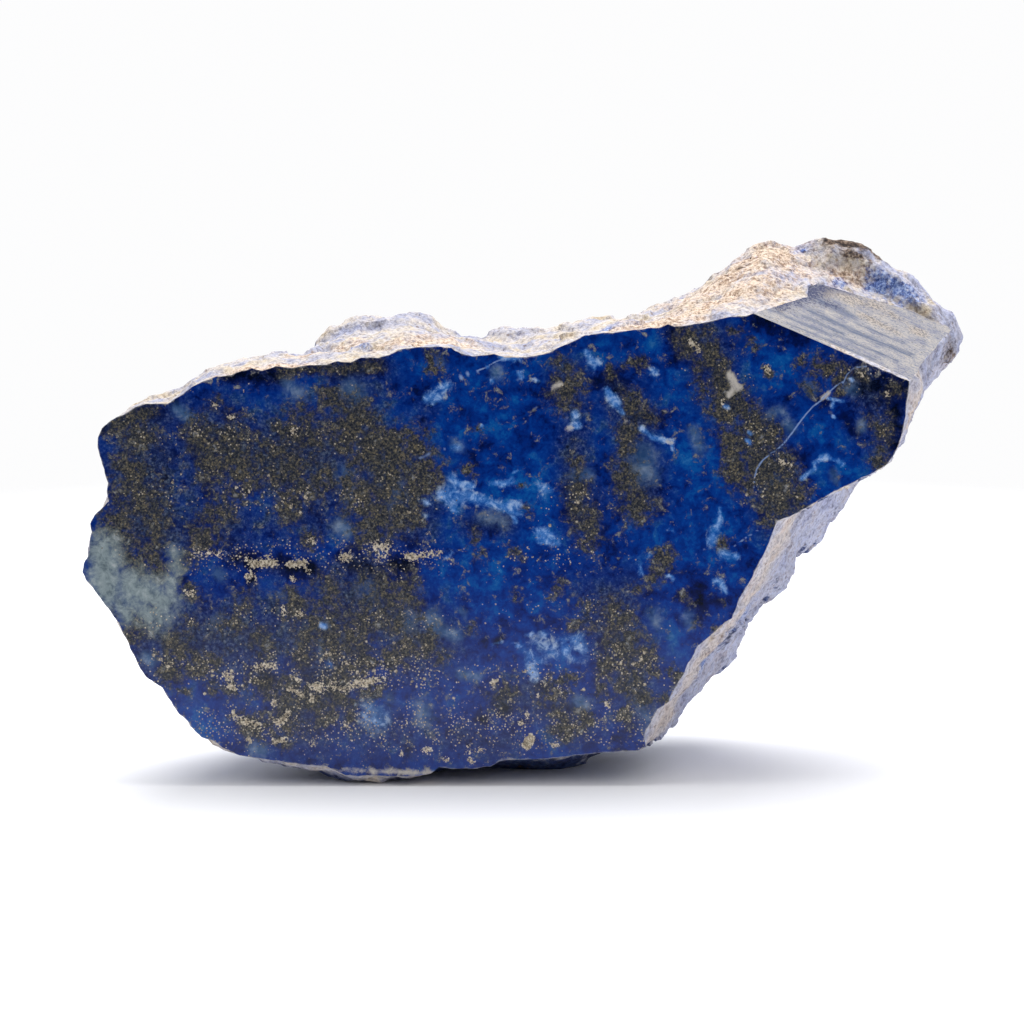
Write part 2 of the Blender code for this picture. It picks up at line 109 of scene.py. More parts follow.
# The polished face's marks: strokes from x, z to x, z with a half width and a strength.
# A strength under 1 leaves the stroke patchy.
marks = {
    # where the blue is dulled to slate by fine pyrite
    "dull": [
        (8, 47, 10, 36, 7, 0.95), (18, 46, 32, 44, 8, 0.95), (20, 36, 34, 38, 6, 0.7), (37, 52, 44, 38, 6, 0.9),
        (12, 20, 30, 20, 8, 0.85), (30, 10, 36, 22, 7, 0.85), (36, 26, 46, 20, 6, 0.85), (66, 56, 68, 36, 3, 0.75),
        (74, 52, 76, 40, 3.6, 0.85), (84, 62, 88, 52, 3.5, 0.8), (92, 48, 95, 38, 4, 0.9), (72, 25, 76, 12, 5, 0.8),
        (106, 56, 109, 46, 3.5, 0.6), (22, 8, 58, 6, 4.5, 0.55), (58, 12, 68, 8, 4, 0.7), (35, 56, 41, 57, 2, 0.7),
        (52, 36, 58, 36, 2, 0.7),
    ],
    # clear vivid blue
    "vivid": [
        (2.7, 47, 4, 46, 1, 1), (11, 48.5, 12, 47.7, 1, 0.8), (21, 53.3, 23.5, 52, 1.4, 0.9),
        (27, 52, 28.5, 51.3, 1.2, 0.7), (31.5, 54, 33, 53, 1.3, 0.7), (23, 36.5, 24, 38.5, 1.1, 0.9),
        (22, 34, 24, 33, 1.2, 0.8), (27.5, 36, 28.3, 34, 1.3, 0.9), (29, 45, 29.3, 44.8, 0.7, 0.8),
        (34, 43, 34.6, 42.6, 0.9, 0.8), (34, 38.3, 34.3, 37, 0.9, 0.8), (41.3, 50.5, 42.8, 48.8, 2, 1),
        (49.5, 44.5, 50.5, 43.5, 1.3, 0.8), (48.5, 48, 51, 49, 1.8, 0.7), (55, 53.5, 58, 53, 2.2, 0.7),
        (56, 47.5, 58, 48, 1.5, 0.8), (60, 41.5, 64, 38, 2.2, 1), (58, 39, 62, 40, 1.6, 1),
        (60.3, 34.5, 60.6, 33.5, 0.9, 1), (64.5, 51, 66.5, 50.6, 0.9, 0.9), (67, 50.6, 67.4, 50.2, 0.6, 1),
        (50.5, 37.7, 50.8, 37, 0.8, 0.8), (50, 35.5, 50, 34.5, 1, 0.9), (48, 29, 52, 27, 2.6, 0.9),
        (51, 31, 54, 30, 1.5, 0.9), (56.5, 27.5, 57, 29.6, 1, 0.8), (62.3, 25, 62.6, 24.3, 0.7, 0.8),
        (62.4, 8.2, 62.6, 7, 0.9, 1), (63.5, 18, 65, 17.3, 0.7, 1), (26.2, 20, 26.4, 19.5, 0.9, 1),
        (27, 17.5, 27.3, 16, 0.9, 1), (31.3, 22, 31.5, 21.5, 0.7, 1), (29.2, 28.5, 29.6, 26.7, 0.8, 1),
        (25.3, 27.5, 25.5, 26, 0.9, 0.8), (21, 29.5, 21.5, 28.5, 1, 1), (34.3, 33.5, 34.8, 32.5, 1.1, 1),
        (18.5, 26.3, 18.7, 25.8, 0.6, 0.8), (23.2, 12, 23.4, 11, 0.9, 0.9), (16, 8.8, 18, 7.3, 1.5, 1),
        (13, 10.3, 13.5, 10, 0.6, 0.8), (15, 14, 14.7, 13.3, 1.4, 0.6), (33, 5.5, 34.5, 4.5, 1.7, 0.8),
        (80, 57.5, 82.5, 55.5, 2.2, 0.7), (91.5, 56.5, 93, 54.5, 2, 0.7), (82, 45, 84.5, 42, 2, 0.9),
        (85, 41, 85.5, 40.5, 0.7, 1), (97.5, 49, 99.5, 48.5, 1.6, 0.8), (96.3, 47.5, 97, 47, 0.9, 1),
        (101.5, 43.5, 103.5, 42.5, 1.6, 0.9), (99, 39.5, 103, 41.8, 1.3, 0.8), (94.5, 51.3, 95, 50.8, 0.8, 0.9),
        (94.5, 57.5, 94.8, 56, 1.2, 0.7), (88, 31, 88.3, 30.3, 0.7, 1), (86.5, 28.3, 87.4, 26.7, 0.6, 1),
        (87, 23.7, 87.2, 23.3, 0.7, 0.8), (80.4, 21.5, 80.8, 20.3, 0.9, 0.9), (84.5, 30, 89, 29, 1.5, 0.5),
        (78, 13.8, 78.3, 13, 1, 0.8), (39.7, 10.3, 40.2, 9.5, 1, 1), (13, 46, 13, 40, 1, 0.8),
        (14, 39.5, 13, 36.5, 0.9, 0.8),
    ],
    # navy to black
    "navy": [
        (20, 56.2, 27, 56.1, 1, 1), (27.5, 57, 34, 57, 0.6, 0.9), (34, 57.2, 40, 57.5, 1, 0.8),
        (36, 31, 40, 29.5, 1.2, 0.9), (42, 30.2, 45, 30, 0.8, 0.9), (43.5, 27.8, 43.6, 27.6, 0.6, 0.9),
        (20.5, 30.7, 31, 29.5, 1, 0.8), (22.8, 28.2, 22.9, 27.8, 0.6, 1), (24, 15, 25, 14, 1, 0.7),
        (27.7, 10.6, 28.6, 10.4, 0.7, 0.9), (51.8, 25.8, 52, 25.6, 0.5, 0.9), (80, 62, 81, 59, 1.2, 0.8),
        (75, 50.7, 78, 50, 0.9, 0.7), (66.5, 40.5, 67, 37.5, 1.2, 0.8), (106, 55, 111, 54, 2.2, 0.8),
        (110.5, 51, 110.5, 47, 1.3, 0.8), (104, 49.3, 105, 48, 0.7, 0.6), (70, 55.5, 73, 54.5, 0.9, 0.7),
        (84.5, 25, 84.7, 24.3, 0.9, 0.8), (88.3, 52.4, 88.5, 52.2, 0.5, 1), (57, 10.8, 57.2, 10.2, 0.8, 0.8),
        (54, 9, 54.5, 8.7, 0.6, 0.8), (44, 5, 44.2, 4, 0.7, 0.7), (46.4, 50, 46.6, 49.6, 0.6, 0.8),
        (46, 53, 48, 51.5, 0.9, 0.6), (61.5, 13.8, 62.5, 13.6, 0.8, 0.8), (57, 20, 56.3, 19.4, 0.4, 0.9),
        (83, 26, 86, 25, 1.2, 0.6), (91.5, 64, 98, 61.5, 1.2, 0.6), (3, 49, 9, 51.3, 0.8, 0.6),
    ],
    # soft grey-blue haze
    "haze": [
        (13, 51.5, 14.5, 50.3, 0.9, 0.9), (28, 54.8, 29.3, 53.8, 1, 0.8), (36.5, 54.2, 37.5, 53.5, 1.4, 0.8),
        (35.5, 43, 36.5, 39.5, 1.3, 0.7), (41.5, 43, 43, 38.5, 1.8, 0.6), (44, 22.8, 44, 22, 1.2, 0.9),
        (47.3, 22.8, 47.8, 21.5, 1.2, 1), (48.5, 21, 51, 20.3, 0.8, 0.95), (51.3, 24, 52, 23.2, 0.5, 0.8),
        (51.5, 15.2, 53.5, 14.7, 0.9, 0.8), (46, 10.3, 46.5, 9, 1.3, 0.8), (50.5, 46.8, 51.5, 46.2, 0.8, 0.7),
        (56.3, 56.6, 56.3, 56.4, 0.9, 1), (76, 45, 76.5, 43, 2, 0.85), (77.3, 42.5, 77.2, 42.3, 1, 0.8),
        (83, 48.5, 84, 46, 0.9, 0.8), (68.8, 42.7, 67, 42.3, 0.9, 0.8), (98.5, 54.6, 99, 54, 0.9, 0.8),
        (104, 54.5, 104.3, 54.2, 1, 0.8), (95.8, 49.5, 96.2, 48.8, 0.9, 0.9), (93.5, 50.9, 95, 51.3, 0.9, 0.7),
        (105.9, 49.5, 106, 48.8, 0.7, 0.8), (93.8, 42, 94.3, 41, 0.8, 0.7), (38.5, 27, 38.8, 26.4, 1.6, 0.7),
        (82.4, 23, 82.8, 22, 1, 0.7), (77.5, 23.5, 78, 22.3, 1, 0.7), (8.5, 17.3, 9, 16.7, 0.9, 0.9),
        (23, 4.7, 24, 4.4, 1, 0.9), (39.4, 9.4, 40, 8.6, 1.6, 0.9), (18.3, 29, 18.6, 28.6, 0.8, 0.9),
        (35, 35.5, 36, 34.6, 1, 1), (33.5, 22.5, 33.6, 21.5, 0.6, 0.8), (32.3, 19.8, 32.4, 17.5, 0.4, 0.7),
        (67.5, 11.2, 68, 10.8, 1.1, 0.9), (41.5, 12, 42, 11, 0.9, 0.6), (76.3, 10.5, 77, 8.5, 1.3, 0.6),
        (13, 30, 12.3, 32, 1.3, 0.7), (18, 22.8, 18, 22.2, 0.9, 0.6), (48.5, 58.3, 49, 57.6, 0.8, 0.6),
        (102, 42.9, 102.4, 41.6, 0.6, 0.8), (27, 26.2, 27.5, 25.5, 0.8, 0.6), (54.5, 36.7, 57.5, 36.2, 1.2, 0.6),
    ],
    # pyrite-rich rock, olive brown
    "brown": [
        (4.5, 49.3, 9, 50.8, 1.1, 0.8), (7.8, 47.8, 8.2, 47.6, 1.9, 0.85), (6.5, 43.5, 6.8, 42.5, 2.2, 0.9),
        (7.5, 39.5, 8, 38.5, 2.8, 0.85), (4.2, 37, 4.5, 34, 2.3, 0.9), (10, 36.5, 9.5, 33, 1.8, 0.75),
        (6.3, 31.2, 7.8, 28.9, 1.4, 1), (16, 48.3, 16.5, 47, 2.2, 0.85), (19.5, 47.5, 21, 46.5, 2.2, 0.8),
        (18, 52.3, 18.1, 52.2, 1.1, 0.8), (20, 50.6, 21.5, 50.3, 0.8, 0.8), (17, 44.3, 17.5, 43.5, 1.9, 0.85),
        (21, 44.8, 22, 42, 2.8, 0.9), (20.5, 40.6, 22.8, 40.2, 0.8, 0.9), (19, 38, 17.5, 37, 1.9, 0.8),
        (16.3, 34, 16.4, 33.6, 1.8, 1), (28, 48.7, 28.5, 48, 2.3, 0.85), (31, 48, 31.5, 47, 1.8, 0.8),
        (27, 46, 26.5, 45, 1.8, 0.8), (33.5, 53.5, 34.5, 51.5, 1.4, 0.85), (30.5, 51.2, 30.8, 50.5, 1.3, 0.75),
        (29, 43.5, 28.5, 42.5, 2.4, 0.9), (26, 42.8, 25.5, 42.2, 1.8, 0.85), (30.5, 41, 33, 42, 1.9, 0.85),
        (28, 39.5, 28, 38, 1.9, 0.85), (31, 33.8, 30.8, 33, 1.2, 0.9), (24, 45, 24.5, 47, 1.5, 0.7),
        (14, 30.8, 13, 30.3, 1.4, 0.75), (27, 56.6, 40, 57.4, 0.8, 0.7), (9.6, 31.5, 10.2, 29, 1.5, 0.85),
        (37, 49.5, 36.5, 48, 2.9, 1), (35.5, 51.5, 36, 51, 1.6, 0.85), (39, 47, 39.5, 46, 2.5, 1),
        (42, 46.3, 42.5, 45.5, 2.6, 1), (45, 47, 45.2, 46, 2.2, 0.95), (46.8, 43.5, 46.8, 42, 1.9, 0.9),
        (42.5, 44, 41.5, 42.5, 2.4, 0.95), (38, 45, 37.5, 44.5, 1.9, 0.9), (45.5, 41, 45.3, 40, 1.9, 0.9),
        (41.5, 41.5, 41, 40, 2.2, 0.85), (38.3, 39.5, 38, 38, 2.3, 0.95), (36, 41.5, 36, 40.5, 1.2, 0.9),
        (43.3, 38.5, 43, 37, 2.3, 0.9), (40.3, 36.5, 40, 35, 2.6, 1), (38.2, 35, 38, 34.2, 1.7, 0.9),
        (44.7, 37, 45, 36, 1.4, 0.8), (47.5, 58, 47.6, 57.3, 1.2, 0.9), (46.2, 48.7, 46.3, 48.6, 0.5, 0.9),
        (66, 54.5, 66, 53.5, 2.2, 0.85), (65, 57.5, 66, 57, 1.4, 0.65), (71.7, 56.5, 71.7, 56.4, 0.8, 1),
        (73.5, 57.4, 76, 58, 0.7, 0.7), (74.5, 53, 74.5, 51.8, 1.3, 0.85), (76.5, 51, 77.8, 50.2, 1.1, 0.7),
        (73.8, 48.8, 74.6, 48.4, 1.2, 0.9), (74, 47, 73.7, 45.5, 1.2, 0.8), (73.5, 43.5, 73.8, 42.5, 1.8, 0.85),
        (74.3, 41.5, 74, 40.3, 1.7, 0.85), (76, 39, 75.3, 37.5, 1.9, 0.85), (67, 44.5, 67.2, 43.8, 0.9, 0.7),
        (67.5, 41, 67, 38, 1.6, 0.8), (68.5, 37, 69, 33.5, 1.6, 0.8), (52, 43.5, 52.5, 43, 0.9, 0.75),
        (53.5, 34.2, 53.2, 33.8, 0.9, 0.75), (60.5, 38, 60.6, 37.8, 0.6, 0.75), (59.8, 41.2, 59.9, 41.1, 0.45, 1),
        (54.2, 48.8, 53.8, 48.7, 0.8, 0.7), (63.5, 26, 65, 27.5, 0.8, 0.65), (58.8, 32, 59.6, 31.5, 0.9, 0.65),
        (54, 31.7, 54, 31.2, 0.8, 0.65), (53, 21.6, 53.2, 21.2, 0.7, 0.7), (58.3, 26.2, 58.5, 25.6, 0.7, 0.65),
        (82, 61, 82.8, 60, 1.5, 0.95), (84.5, 62, 84.6, 61.5, 0.9, 0.75), (85.3, 59.5, 85.6, 58, 1.3, 0.95),
        (84, 57.8, 84, 57.2, 1, 0.75), (86.2, 57, 86.6, 56, 1.4, 1), (84, 54.8, 84.3, 54, 1.2, 0.85),
        (86.8, 54.5, 87, 53, 1.8, 1), (88.3, 53.3, 88.5, 52.2, 1.9, 1), (87, 51.3, 87.3, 50.3, 1.8, 0.95),
        (89.7, 52, 90.5, 51, 1.6, 0.95), (91.3, 50.3, 91.5, 49.5, 1.6, 0.9), (88, 47.5, 87.8, 45.8, 1.4, 0.9),
        (91, 48, 91.5, 46.5, 2.8, 1), (94, 48.5, 93.5, 47, 1.4, 0.85), (89, 44, 89, 42.5, 1.9, 0.95),
        (92.5, 44, 92.5, 42.5, 2.6, 1), (94.8, 43.8, 95.5, 43, 1.8, 1), (96.3, 43.8, 96.4, 43, 0.9, 0.9),
        (94.3, 40.5, 94.8, 38.5, 2.3, 0.95), (97.3, 40, 97.6, 39.2, 1.5, 0.9), (93.3, 37, 93.5, 36.3, 1.3, 0.9),
        (91, 41.5, 90.8, 40.8, 1.4, 0.85), (88, 62.4, 90, 61.8, 0.6, 0.75), (90.2, 61, 91.3, 60.2, 0.8, 0.75),
        (93, 57, 93.3, 56.3, 0.5, 1), (100.3, 57.2, 103, 56.2, 1.4, 0.9), (97.8, 58.2, 97.6, 57.6, 0.8, 0.7),
        (105.7, 56.1, 106.1, 55.7, 0.6, 1), (98.2, 54.5, 99, 54.2, 1, 0.65), (108.3, 49.3, 108.3, 48.3, 1.7, 0.78),
        (108.4, 46.2, 108.5, 45.8, 0.9, 0.8), (108.6, 44.7, 108.3, 44.3, 1.1, 0.9),
        (109.2, 53.7, 109.3, 53.5, 0.5, 0.9), (110.5, 54.5, 111, 53.5, 0.7, 0.7), (103, 53.6, 102, 53.6, 0.5, 0.7),
        (7, 22.7, 7.5, 22, 1.7, 0.85), (9, 24.7, 9.5, 24, 1.2, 0.7), (5.9, 20.3, 6, 19.8, 1, 0.8),
        (12.5, 19, 12.5, 18, 2.1, 0.9), (11.5, 15.3, 11, 14.8, 1.4, 0.9), (15, 17, 15.5, 16, 1.9, 0.85),
        (17.5, 17, 17.6, 16.6, 1.3, 0.8), (14.2, 26.8, 14.5, 26.4, 1.2, 0.9), (14.2, 22.6, 14.3, 22.2, 1.2, 0.75),
        (17.6, 13.6, 17.6, 13.2, 0.9, 0.9), (13.5, 12.6, 12.5, 12.8, 0.7, 0.75), (19, 22, 20.5, 22, 1.5, 0.7),
        (28.5, 25, 28.5, 24, 1.9, 0.9), (33.3, 27, 33, 26, 1.9, 0.85), (31.3, 22.3, 30.8, 20.5, 1.7, 0.85),
        (24, 20, 24.5, 18.5, 1.6, 0.7), (23, 14, 25.5, 13, 1.7, 0.75), (28, 13, 31, 11.5, 2.2, 0.9),
        (32.5, 9.5, 33, 9, 1.5, 0.75), (34, 13.5, 34.5, 12, 1.8, 0.9), (22.3, 8.3, 24, 7.8, 1.8, 0.8),
        (27, 9, 27.5, 8, 1.8, 0.8), (29.5, 18.5, 29.8, 17.5, 1.5, 0.8), (33.5, 20.5, 34.5, 18.5, 1.8, 0.85),
        (33.5, 24, 34, 22, 1.3, 0.7), (20, 13.5, 20, 12.8, 0.9, 0.8), (26.5, 6, 27, 5.6, 1, 0.75),
        (20.5, 9.5, 20.4, 9.2, 0.8, 0.7), (22, 25.5, 21.5, 24.5, 1.2, 0.65), (38, 27.3, 38.5, 26.5, 1.8, 0.75),
        (41, 26.5, 41, 25.5, 2.2, 0.85), (44.2, 27.5, 44, 26.2, 1.7, 0.85), (44.5, 25, 44.8, 24.5, 1.3, 0.8),
        (38, 23.3, 38, 22, 1.8, 0.85), (42.5, 23, 42.8, 21.8, 1.8, 0.8), (46, 23.3, 46, 22.7, 1.1, 0.7),
        (46.5, 20, 46.8, 18.8, 1.7, 0.85), (44, 19.3, 44, 18.5, 1.8, 0.85), (42, 17.5, 41.5, 16.8, 1.9, 0.85),
        (38, 17, 37.5, 16.2, 2.3, 0.9), (36, 20.3, 36.3, 19.6, 1.8, 0.85), (48.3, 17.5, 48.7, 17, 1.3, 0.75),
        (38.5, 12.8, 39.5, 12.4, 1.3, 0.9), (36.5, 10.8, 36, 8.3, 1, 0.8), (35.3, 15, 35, 14, 1.3, 0.85),
        (72, 24.8, 72.3, 24, 1.1, 0.85), (73.4, 23, 73.7, 22, 1.6, 0.9), (74.6, 21, 74.5, 20, 1.3, 0.85),
        (73, 19, 73, 18, 1.9, 0.9), (76, 18, 76.3, 17, 1.8, 0.85), (71.5, 17, 71.5, 16, 1.4, 0.85),
        (77.7, 16.2, 78, 15.7, 1.4, 0.75), (80.2, 15.7, 81, 14.6, 0.8, 0.9), (74.5, 14.5, 74.3, 13.2, 1.7, 0.85),
        (76, 12.3, 76.5, 11.6, 1.3, 0.8), (79, 11.6, 79.4, 11.3, 0.8, 0.8), (70.6, 12.8, 71, 12.2, 1.2, 0.75),
        (73.6, 10.2, 73.8, 9.3, 1, 0.8), (65.5, 8.8, 65.7, 7.3, 1.7, 0.85), (68.6, 9, 68.6, 8.5, 0.9, 1),
        (63, 12.3, 63.3, 11.8, 1.2, 0.8), (65.2, 13.6, 65.6, 12.8, 1.1, 0.8), (66, 14.7, 66.5, 14.5, 0.9, 0.8),
        (68.2, 22.3, 68, 21.7, 1.1, 0.75), (66.5, 21.7, 66.7, 21.3, 0.8, 0.75), (67.5, 24.8, 69, 24.2, 0.8, 0.7),
        (63.6, 15.2, 64, 14.2, 0.9, 0.7), (79, 31.3, 79.2, 30.7, 1.4, 0.9), (78, 28.8, 78, 28.2, 1.1, 0.8),
        (75.5, 27.2, 75.5, 26.6, 0.7, 0.75), (82, 25.6, 82.3, 25.3, 0.6, 0.8), (84, 22.3, 83.7, 21.8, 0.6, 0.75),
        (87.3, 24.9, 87.5, 24.6, 0.45, 0.8), (86, 21.3, 86.3, 21, 0.45, 0.9), (87, 33.3, 87.3, 32.7, 0.9, 0.8),
        (74.5, 36.7, 73.5, 37.2, 1, 0.75), (71, 22.5, 71.5, 21, 1.2, 0.65), (58, 12.5, 57, 11.5, 1.6, 0.65),
    ],
    # grey-green calcite at the left tip
    "calcite": [
        (2.5, 32, 3.2, 26.5, 2.3, 1), (6, 27.3, 8.3, 25.8, 1.8, 0.95), (11.7, 28, 11.3, 23, 1.1, 0.75),
        (4.6, 25, 5.8, 23, 1.1, 0.85), (6, 28, 11, 25, 2, 0.9), (6, 25.5, 10, 22.8, 1.8, 0.8),
        (12.3, 31.5, 12.6, 29.5, 1.2, 0.6),
    ],
    # pale blue to white lace
    "lace": [
        (46.6, 52.7, 48.2, 52.7, 0.5, 1), (47.6, 53.2, 48.6, 53.8, 0.5, 0.95), (48.6, 54, 49.6, 54.8, 0.35, 1),
        (49.6, 54.9, 50.3, 55.2, 0.3, 1), (55, 57.2, 55.1, 57.3, 0.22, 1), (57, 58.5, 59.3, 58.4, 0.4, 0.9),
        (59.4, 56.5, 59.5, 55.9, 0.35, 1), (55.6, 55.3, 56, 55.4, 0.22, 1), (61.5, 55.4, 62.5, 55.2, 0.3, 0.7),
        (54.3, 49.3, 54.3, 49.1, 0.25, 1), (66.5, 49, 67.3, 49.3, 0.5, 1), (66.9, 50.8, 67, 50.5, 0.5, 0.9),
        (50.2, 42, 50.8, 41.2, 0.6, 0.85), (51.3, 41.3, 52.8, 41, 0.5, 1), (48.8, 39.8, 49.8, 39.4, 0.7, 0.9),
        (50, 40.2, 51.3, 39.4, 0.9, 0.85), (52, 39.8, 54.5, 39, 0.7, 0.85), (50.2, 38.5, 50.6, 37.6, 0.5, 0.9),
        (55, 38.8, 57, 38.2, 0.5, 0.8), (57, 38.2, 59, 38.5, 0.6, 0.9), (57.5, 37.8, 59.2, 37.2, 0.5, 0.85),
        (58.6, 36.7, 58.9, 36, 0.4, 0.9), (55.6, 41.3, 57, 41.4, 0.3, 1), (57, 41.2, 58.3, 41.6, 0.4, 1),
        (58.3, 42, 59, 43.2, 0.2, 0.9), (62.2, 34.6, 63.5, 34.3, 0.7, 1), (62, 33.5, 64.5, 33.4, 0.45, 1),
        (62.3, 40.7, 63.5, 40.5, 0.5, 0.8), (62.5, 39.5, 62.8, 39, 0.4, 0.75), (46.5, 38.8, 47.2, 38.9, 0.45, 0.8),
        (46.6, 37.2, 46.7, 36.8, 0.25, 0.8), (50.5, 46.3, 51.3, 46.2, 0.4, 0.75), (68.4, 59.4, 69.3, 58, 0.4, 0.8),
        (69.1, 58, 70, 57.8, 0.5, 0.85), (69.6, 57.6, 69.5, 56.9, 0.3, 0.75), (77.5, 56.7, 77.9, 56.5, 0.45, 0.85),
        (71.4, 54, 71.7, 53.3, 0.5, 1), (72, 53, 72.6, 52.2, 0.6, 1), (72.9, 51.9, 73.4, 50.9, 0.25, 1),
        (75.9, 48.9, 77.4, 47.7, 0.35, 0.75), (77.4, 47.6, 80.2, 47, 0.35, 0.9), (80.1, 46.8, 80.2, 46, 0.22, 0.8),
        (90.3, 47.3, 90.8, 46.8, 0.3, 0.95), (90.5, 48.3, 90.9, 48, 0.25, 0.8), (87.2, 52, 87.7, 51.8, 0.3, 0.8),
        (86.7, 38, 86.7, 36.8, 0.22, 0.8), (86.6, 36.4, 86.3, 35, 0.45, 0.85), (86, 34.8, 85.5, 33.4, 0.6, 0.9),
        (87.2, 31.7, 87.8, 31.4, 0.6, 0.8), (88.7, 31.3, 89.1, 31.3, 0.4, 1), (86.1, 27.9, 86.8, 27.8, 0.35, 0.8),
        (87, 27.5, 87.5, 26.5, 0.35, 0.8), (75.9, 31.2, 77.3, 31.6, 0.2, 0.75), (75.8, 31, 75.7, 29.8, 0.25, 0.8),
        (75.9, 29.4, 76.1, 28.9, 0.3, 0.8), (79.2, 28.6, 79.9, 28.7, 0.15, 1), (79.9, 28.7, 80.5, 28.2, 0.22, 1),
        (79.6, 35, 80.3, 35, 0.22, 0.75), (32.4, 21.8, 32.8, 21.7, 0.35, 1), (33.2, 16.5, 33.6, 16.2, 0.4, 0.75),
        (38.7, 9.9, 39.4, 8.6, 1.5, 0.52), (40.2, 9.4, 40.4, 8.4, 1.3, 0.5), (60, 18.6, 60.6, 16.6, 0.25, 1),
        (60.8, 17.5, 62, 17, 1, 0.62), (61, 15.8, 61.5, 14.8, 0.8, 0.62), (62, 19, 66, 18, 1.4, 0.5),
        (65.3, 19.2, 65.7, 17.8, 0.4, 0.95), (66.2, 19.7, 68, 20, 0.6, 0.75), (67.3, 20.5, 67.6, 20.2, 0.45, 0.9),
        (66.5, 17.6, 68, 17.3, 0.5, 0.75), (67.5, 19, 68.2, 18.4, 1.2, 0.58), (58.5, 19.4, 60, 18.5, 0.18, 0.9),
        (55.5, 19, 57, 19.4, 0.2, 0.7), (60, 20.3, 63.5, 21, 0.2, 0.7), (100.4, 44.8, 101.3, 45, 0.4, 1),
        (101.3, 44.9, 102.2, 44.6, 0.3, 0.9), (102.6, 44.5, 103.3, 44, 0.35, 0.8),
        (99.4, 44, 100.3, 44.6, 0.3, 0.8), (99.6, 43.4, 98.6, 42.6, 0.35, 0.75), (98.4, 42.5, 97.8, 42, 0.3, 0.85),
        (102, 50.5, 102.2, 50.3, 0.2, 1), (101.2, 53, 103.4, 52.5, 0.2, 0.8), (102, 52.4, 101.9, 51.8, 0.25, 0.8),
        (104.3, 55.6, 104.5, 55.4, 0.25, 0.8), (49.4, 31.4, 50, 32, 0.4, 0.7),
    ],
    # cream calcite spots
    "cream": [
        (63.9, 54.5, 65, 54.9, 0.3, 0.75), (88, 56.2, 88.4, 55.4, 0.45, 0.95), (88.6, 55, 89, 54.5, 0.5, 0.95),
        (88.4, 54.2, 87.8, 53.3, 0.35, 0.8), (79.6, 47.1, 80.2, 46.9, 0.25, 0.6),
        (100.6, 53, 101.5, 53.7, 0.25, 0.85), (66, 48.8, 66.5, 48.9, 0.4, 0.8), (73.9, 49.9, 74, 49.8, 0.25, 1),
        (22, 3, 34, 1.7, 0.35, 0.65), (34, 1.7, 50, 1.2, 0.35, 0.65), (50, 1.2, 69, 2.2, 0.35, 0.6),
    ],
    # thin white veins
    "vein": [
        (106.4, 57.3, 104.9, 57.2, 0.11, 0.8), (104.9, 57.2, 103.8, 56.2, 0.11, 0.8),
        (103.8, 56.2, 103.3, 55, 0.12, 0.8), (103.2, 55.2, 102.4, 54.7, 0.11, 0.8),
        (102.4, 54.7, 101.4, 53.8, 0.12, 0.9), (101.2, 53.6, 100.4, 52.7, 0.12, 1),
        (100.4, 52.7, 99.3, 51.9, 0.11, 1), (99.3, 51.9, 98.3, 50.8, 0.11, 1), (98.3, 50.8, 97.4, 49.6, 0.11, 1),
        (97.4, 49.6, 96.4, 48.2, 0.12, 1), (96.4, 48.2, 95.5, 47, 0.12, 1), (95.5, 47, 94.7, 46.2, 0.11, 0.95),
        (94.7, 46.2, 93.4, 45.3, 0.11, 0.95), (93.4, 45.3, 92.4, 44.4, 0.11, 0.9),
        (92.4, 44.4, 91.7, 43.3, 0.12, 0.95), (91.7, 43.3, 91.4, 42.2, 0.12, 0.95),
        (91.4, 42.2, 91.3, 40.8, 0.11, 0.85), (50.4, 55.2, 52, 56.1, 0.1, 0.95), (52, 56.1, 53.6, 56.7, 0.1, 0.95),
        (53.6, 56.7, 55, 57.2, 0.1, 0.95), (55.2, 57.4, 56.3, 58, 0.1, 0.95), (56.3, 58, 57.2, 58.3, 0.12, 0.9),
        (45.8, 44.8, 48.3, 45.8, 0.12, 0.75), (48.3, 45.8, 50.3, 46.3, 0.15, 0.75),
        (58, 49.6, 59.7, 50.5, 0.14, 0.7), (59.7, 50.5, 61, 51.3, 0.12, 0.8), (61, 51.3, 63.5, 52.6, 0.15, 0.65),
        (88.6, 32.6, 90, 33.7, 0.12, 0.8), (90, 33.7, 92, 35, 0.12, 0.8), (82, 30.5, 84.7, 32.4, 0.15, 0.6),
    ],
    # golden pyrite, grown together
    "gold": [
        (22.8, 30.3, 26, 30.4, 0.55, 0.95), (25.2, 31.4, 25.3, 31.3, 0.35, 1), (28, 30.2, 30, 30.4, 0.42, 1),
        (30.2, 29.7, 30.7, 29.2, 0.35, 0.75), (20.3, 31.2, 22.3, 31.2, 0.3, 0.7), (15.5, 31.8, 19, 31.6, 0.5, 0.6),
        (22.2, 28.6, 22.3, 27.8, 0.25, 0.85), (22.3, 28.8, 23.4, 28.7, 0.25, 0.85),
        (23.3, 28.4, 23.4, 27.3, 0.25, 0.85), (28.4, 28.3, 28.5, 28.1, 0.35, 0.9),
        (14, 26.5, 14.8, 26.3, 0.4, 0.85), (27.1, 24.3, 27.2, 23.3, 0.28, 0.85),
        (29.3, 23.6, 29.6, 23.4, 0.4, 0.85), (14.4, 22.5, 14.5, 22.3, 0.35, 0.8),
        (20.7, 40.6, 22.8, 40.2, 0.3, 0.8), (28.6, 48.6, 29, 48.5, 0.35, 0.85), (18, 52.4, 18.3, 52, 0.45, 0.75),
        (20, 50.5, 20.6, 50.3, 0.35, 0.8), (31, 33.6, 31.3, 33.3, 0.4, 0.8), (19.2, 15, 19.9, 14.6, 0.5, 0.85),
        (19.7, 13.4, 20.4, 13.1, 0.5, 0.8), (23.3, 16, 25.8, 16.3, 0.6, 0.7), (27.8, 13, 29.6, 12.1, 0.32, 0.95),
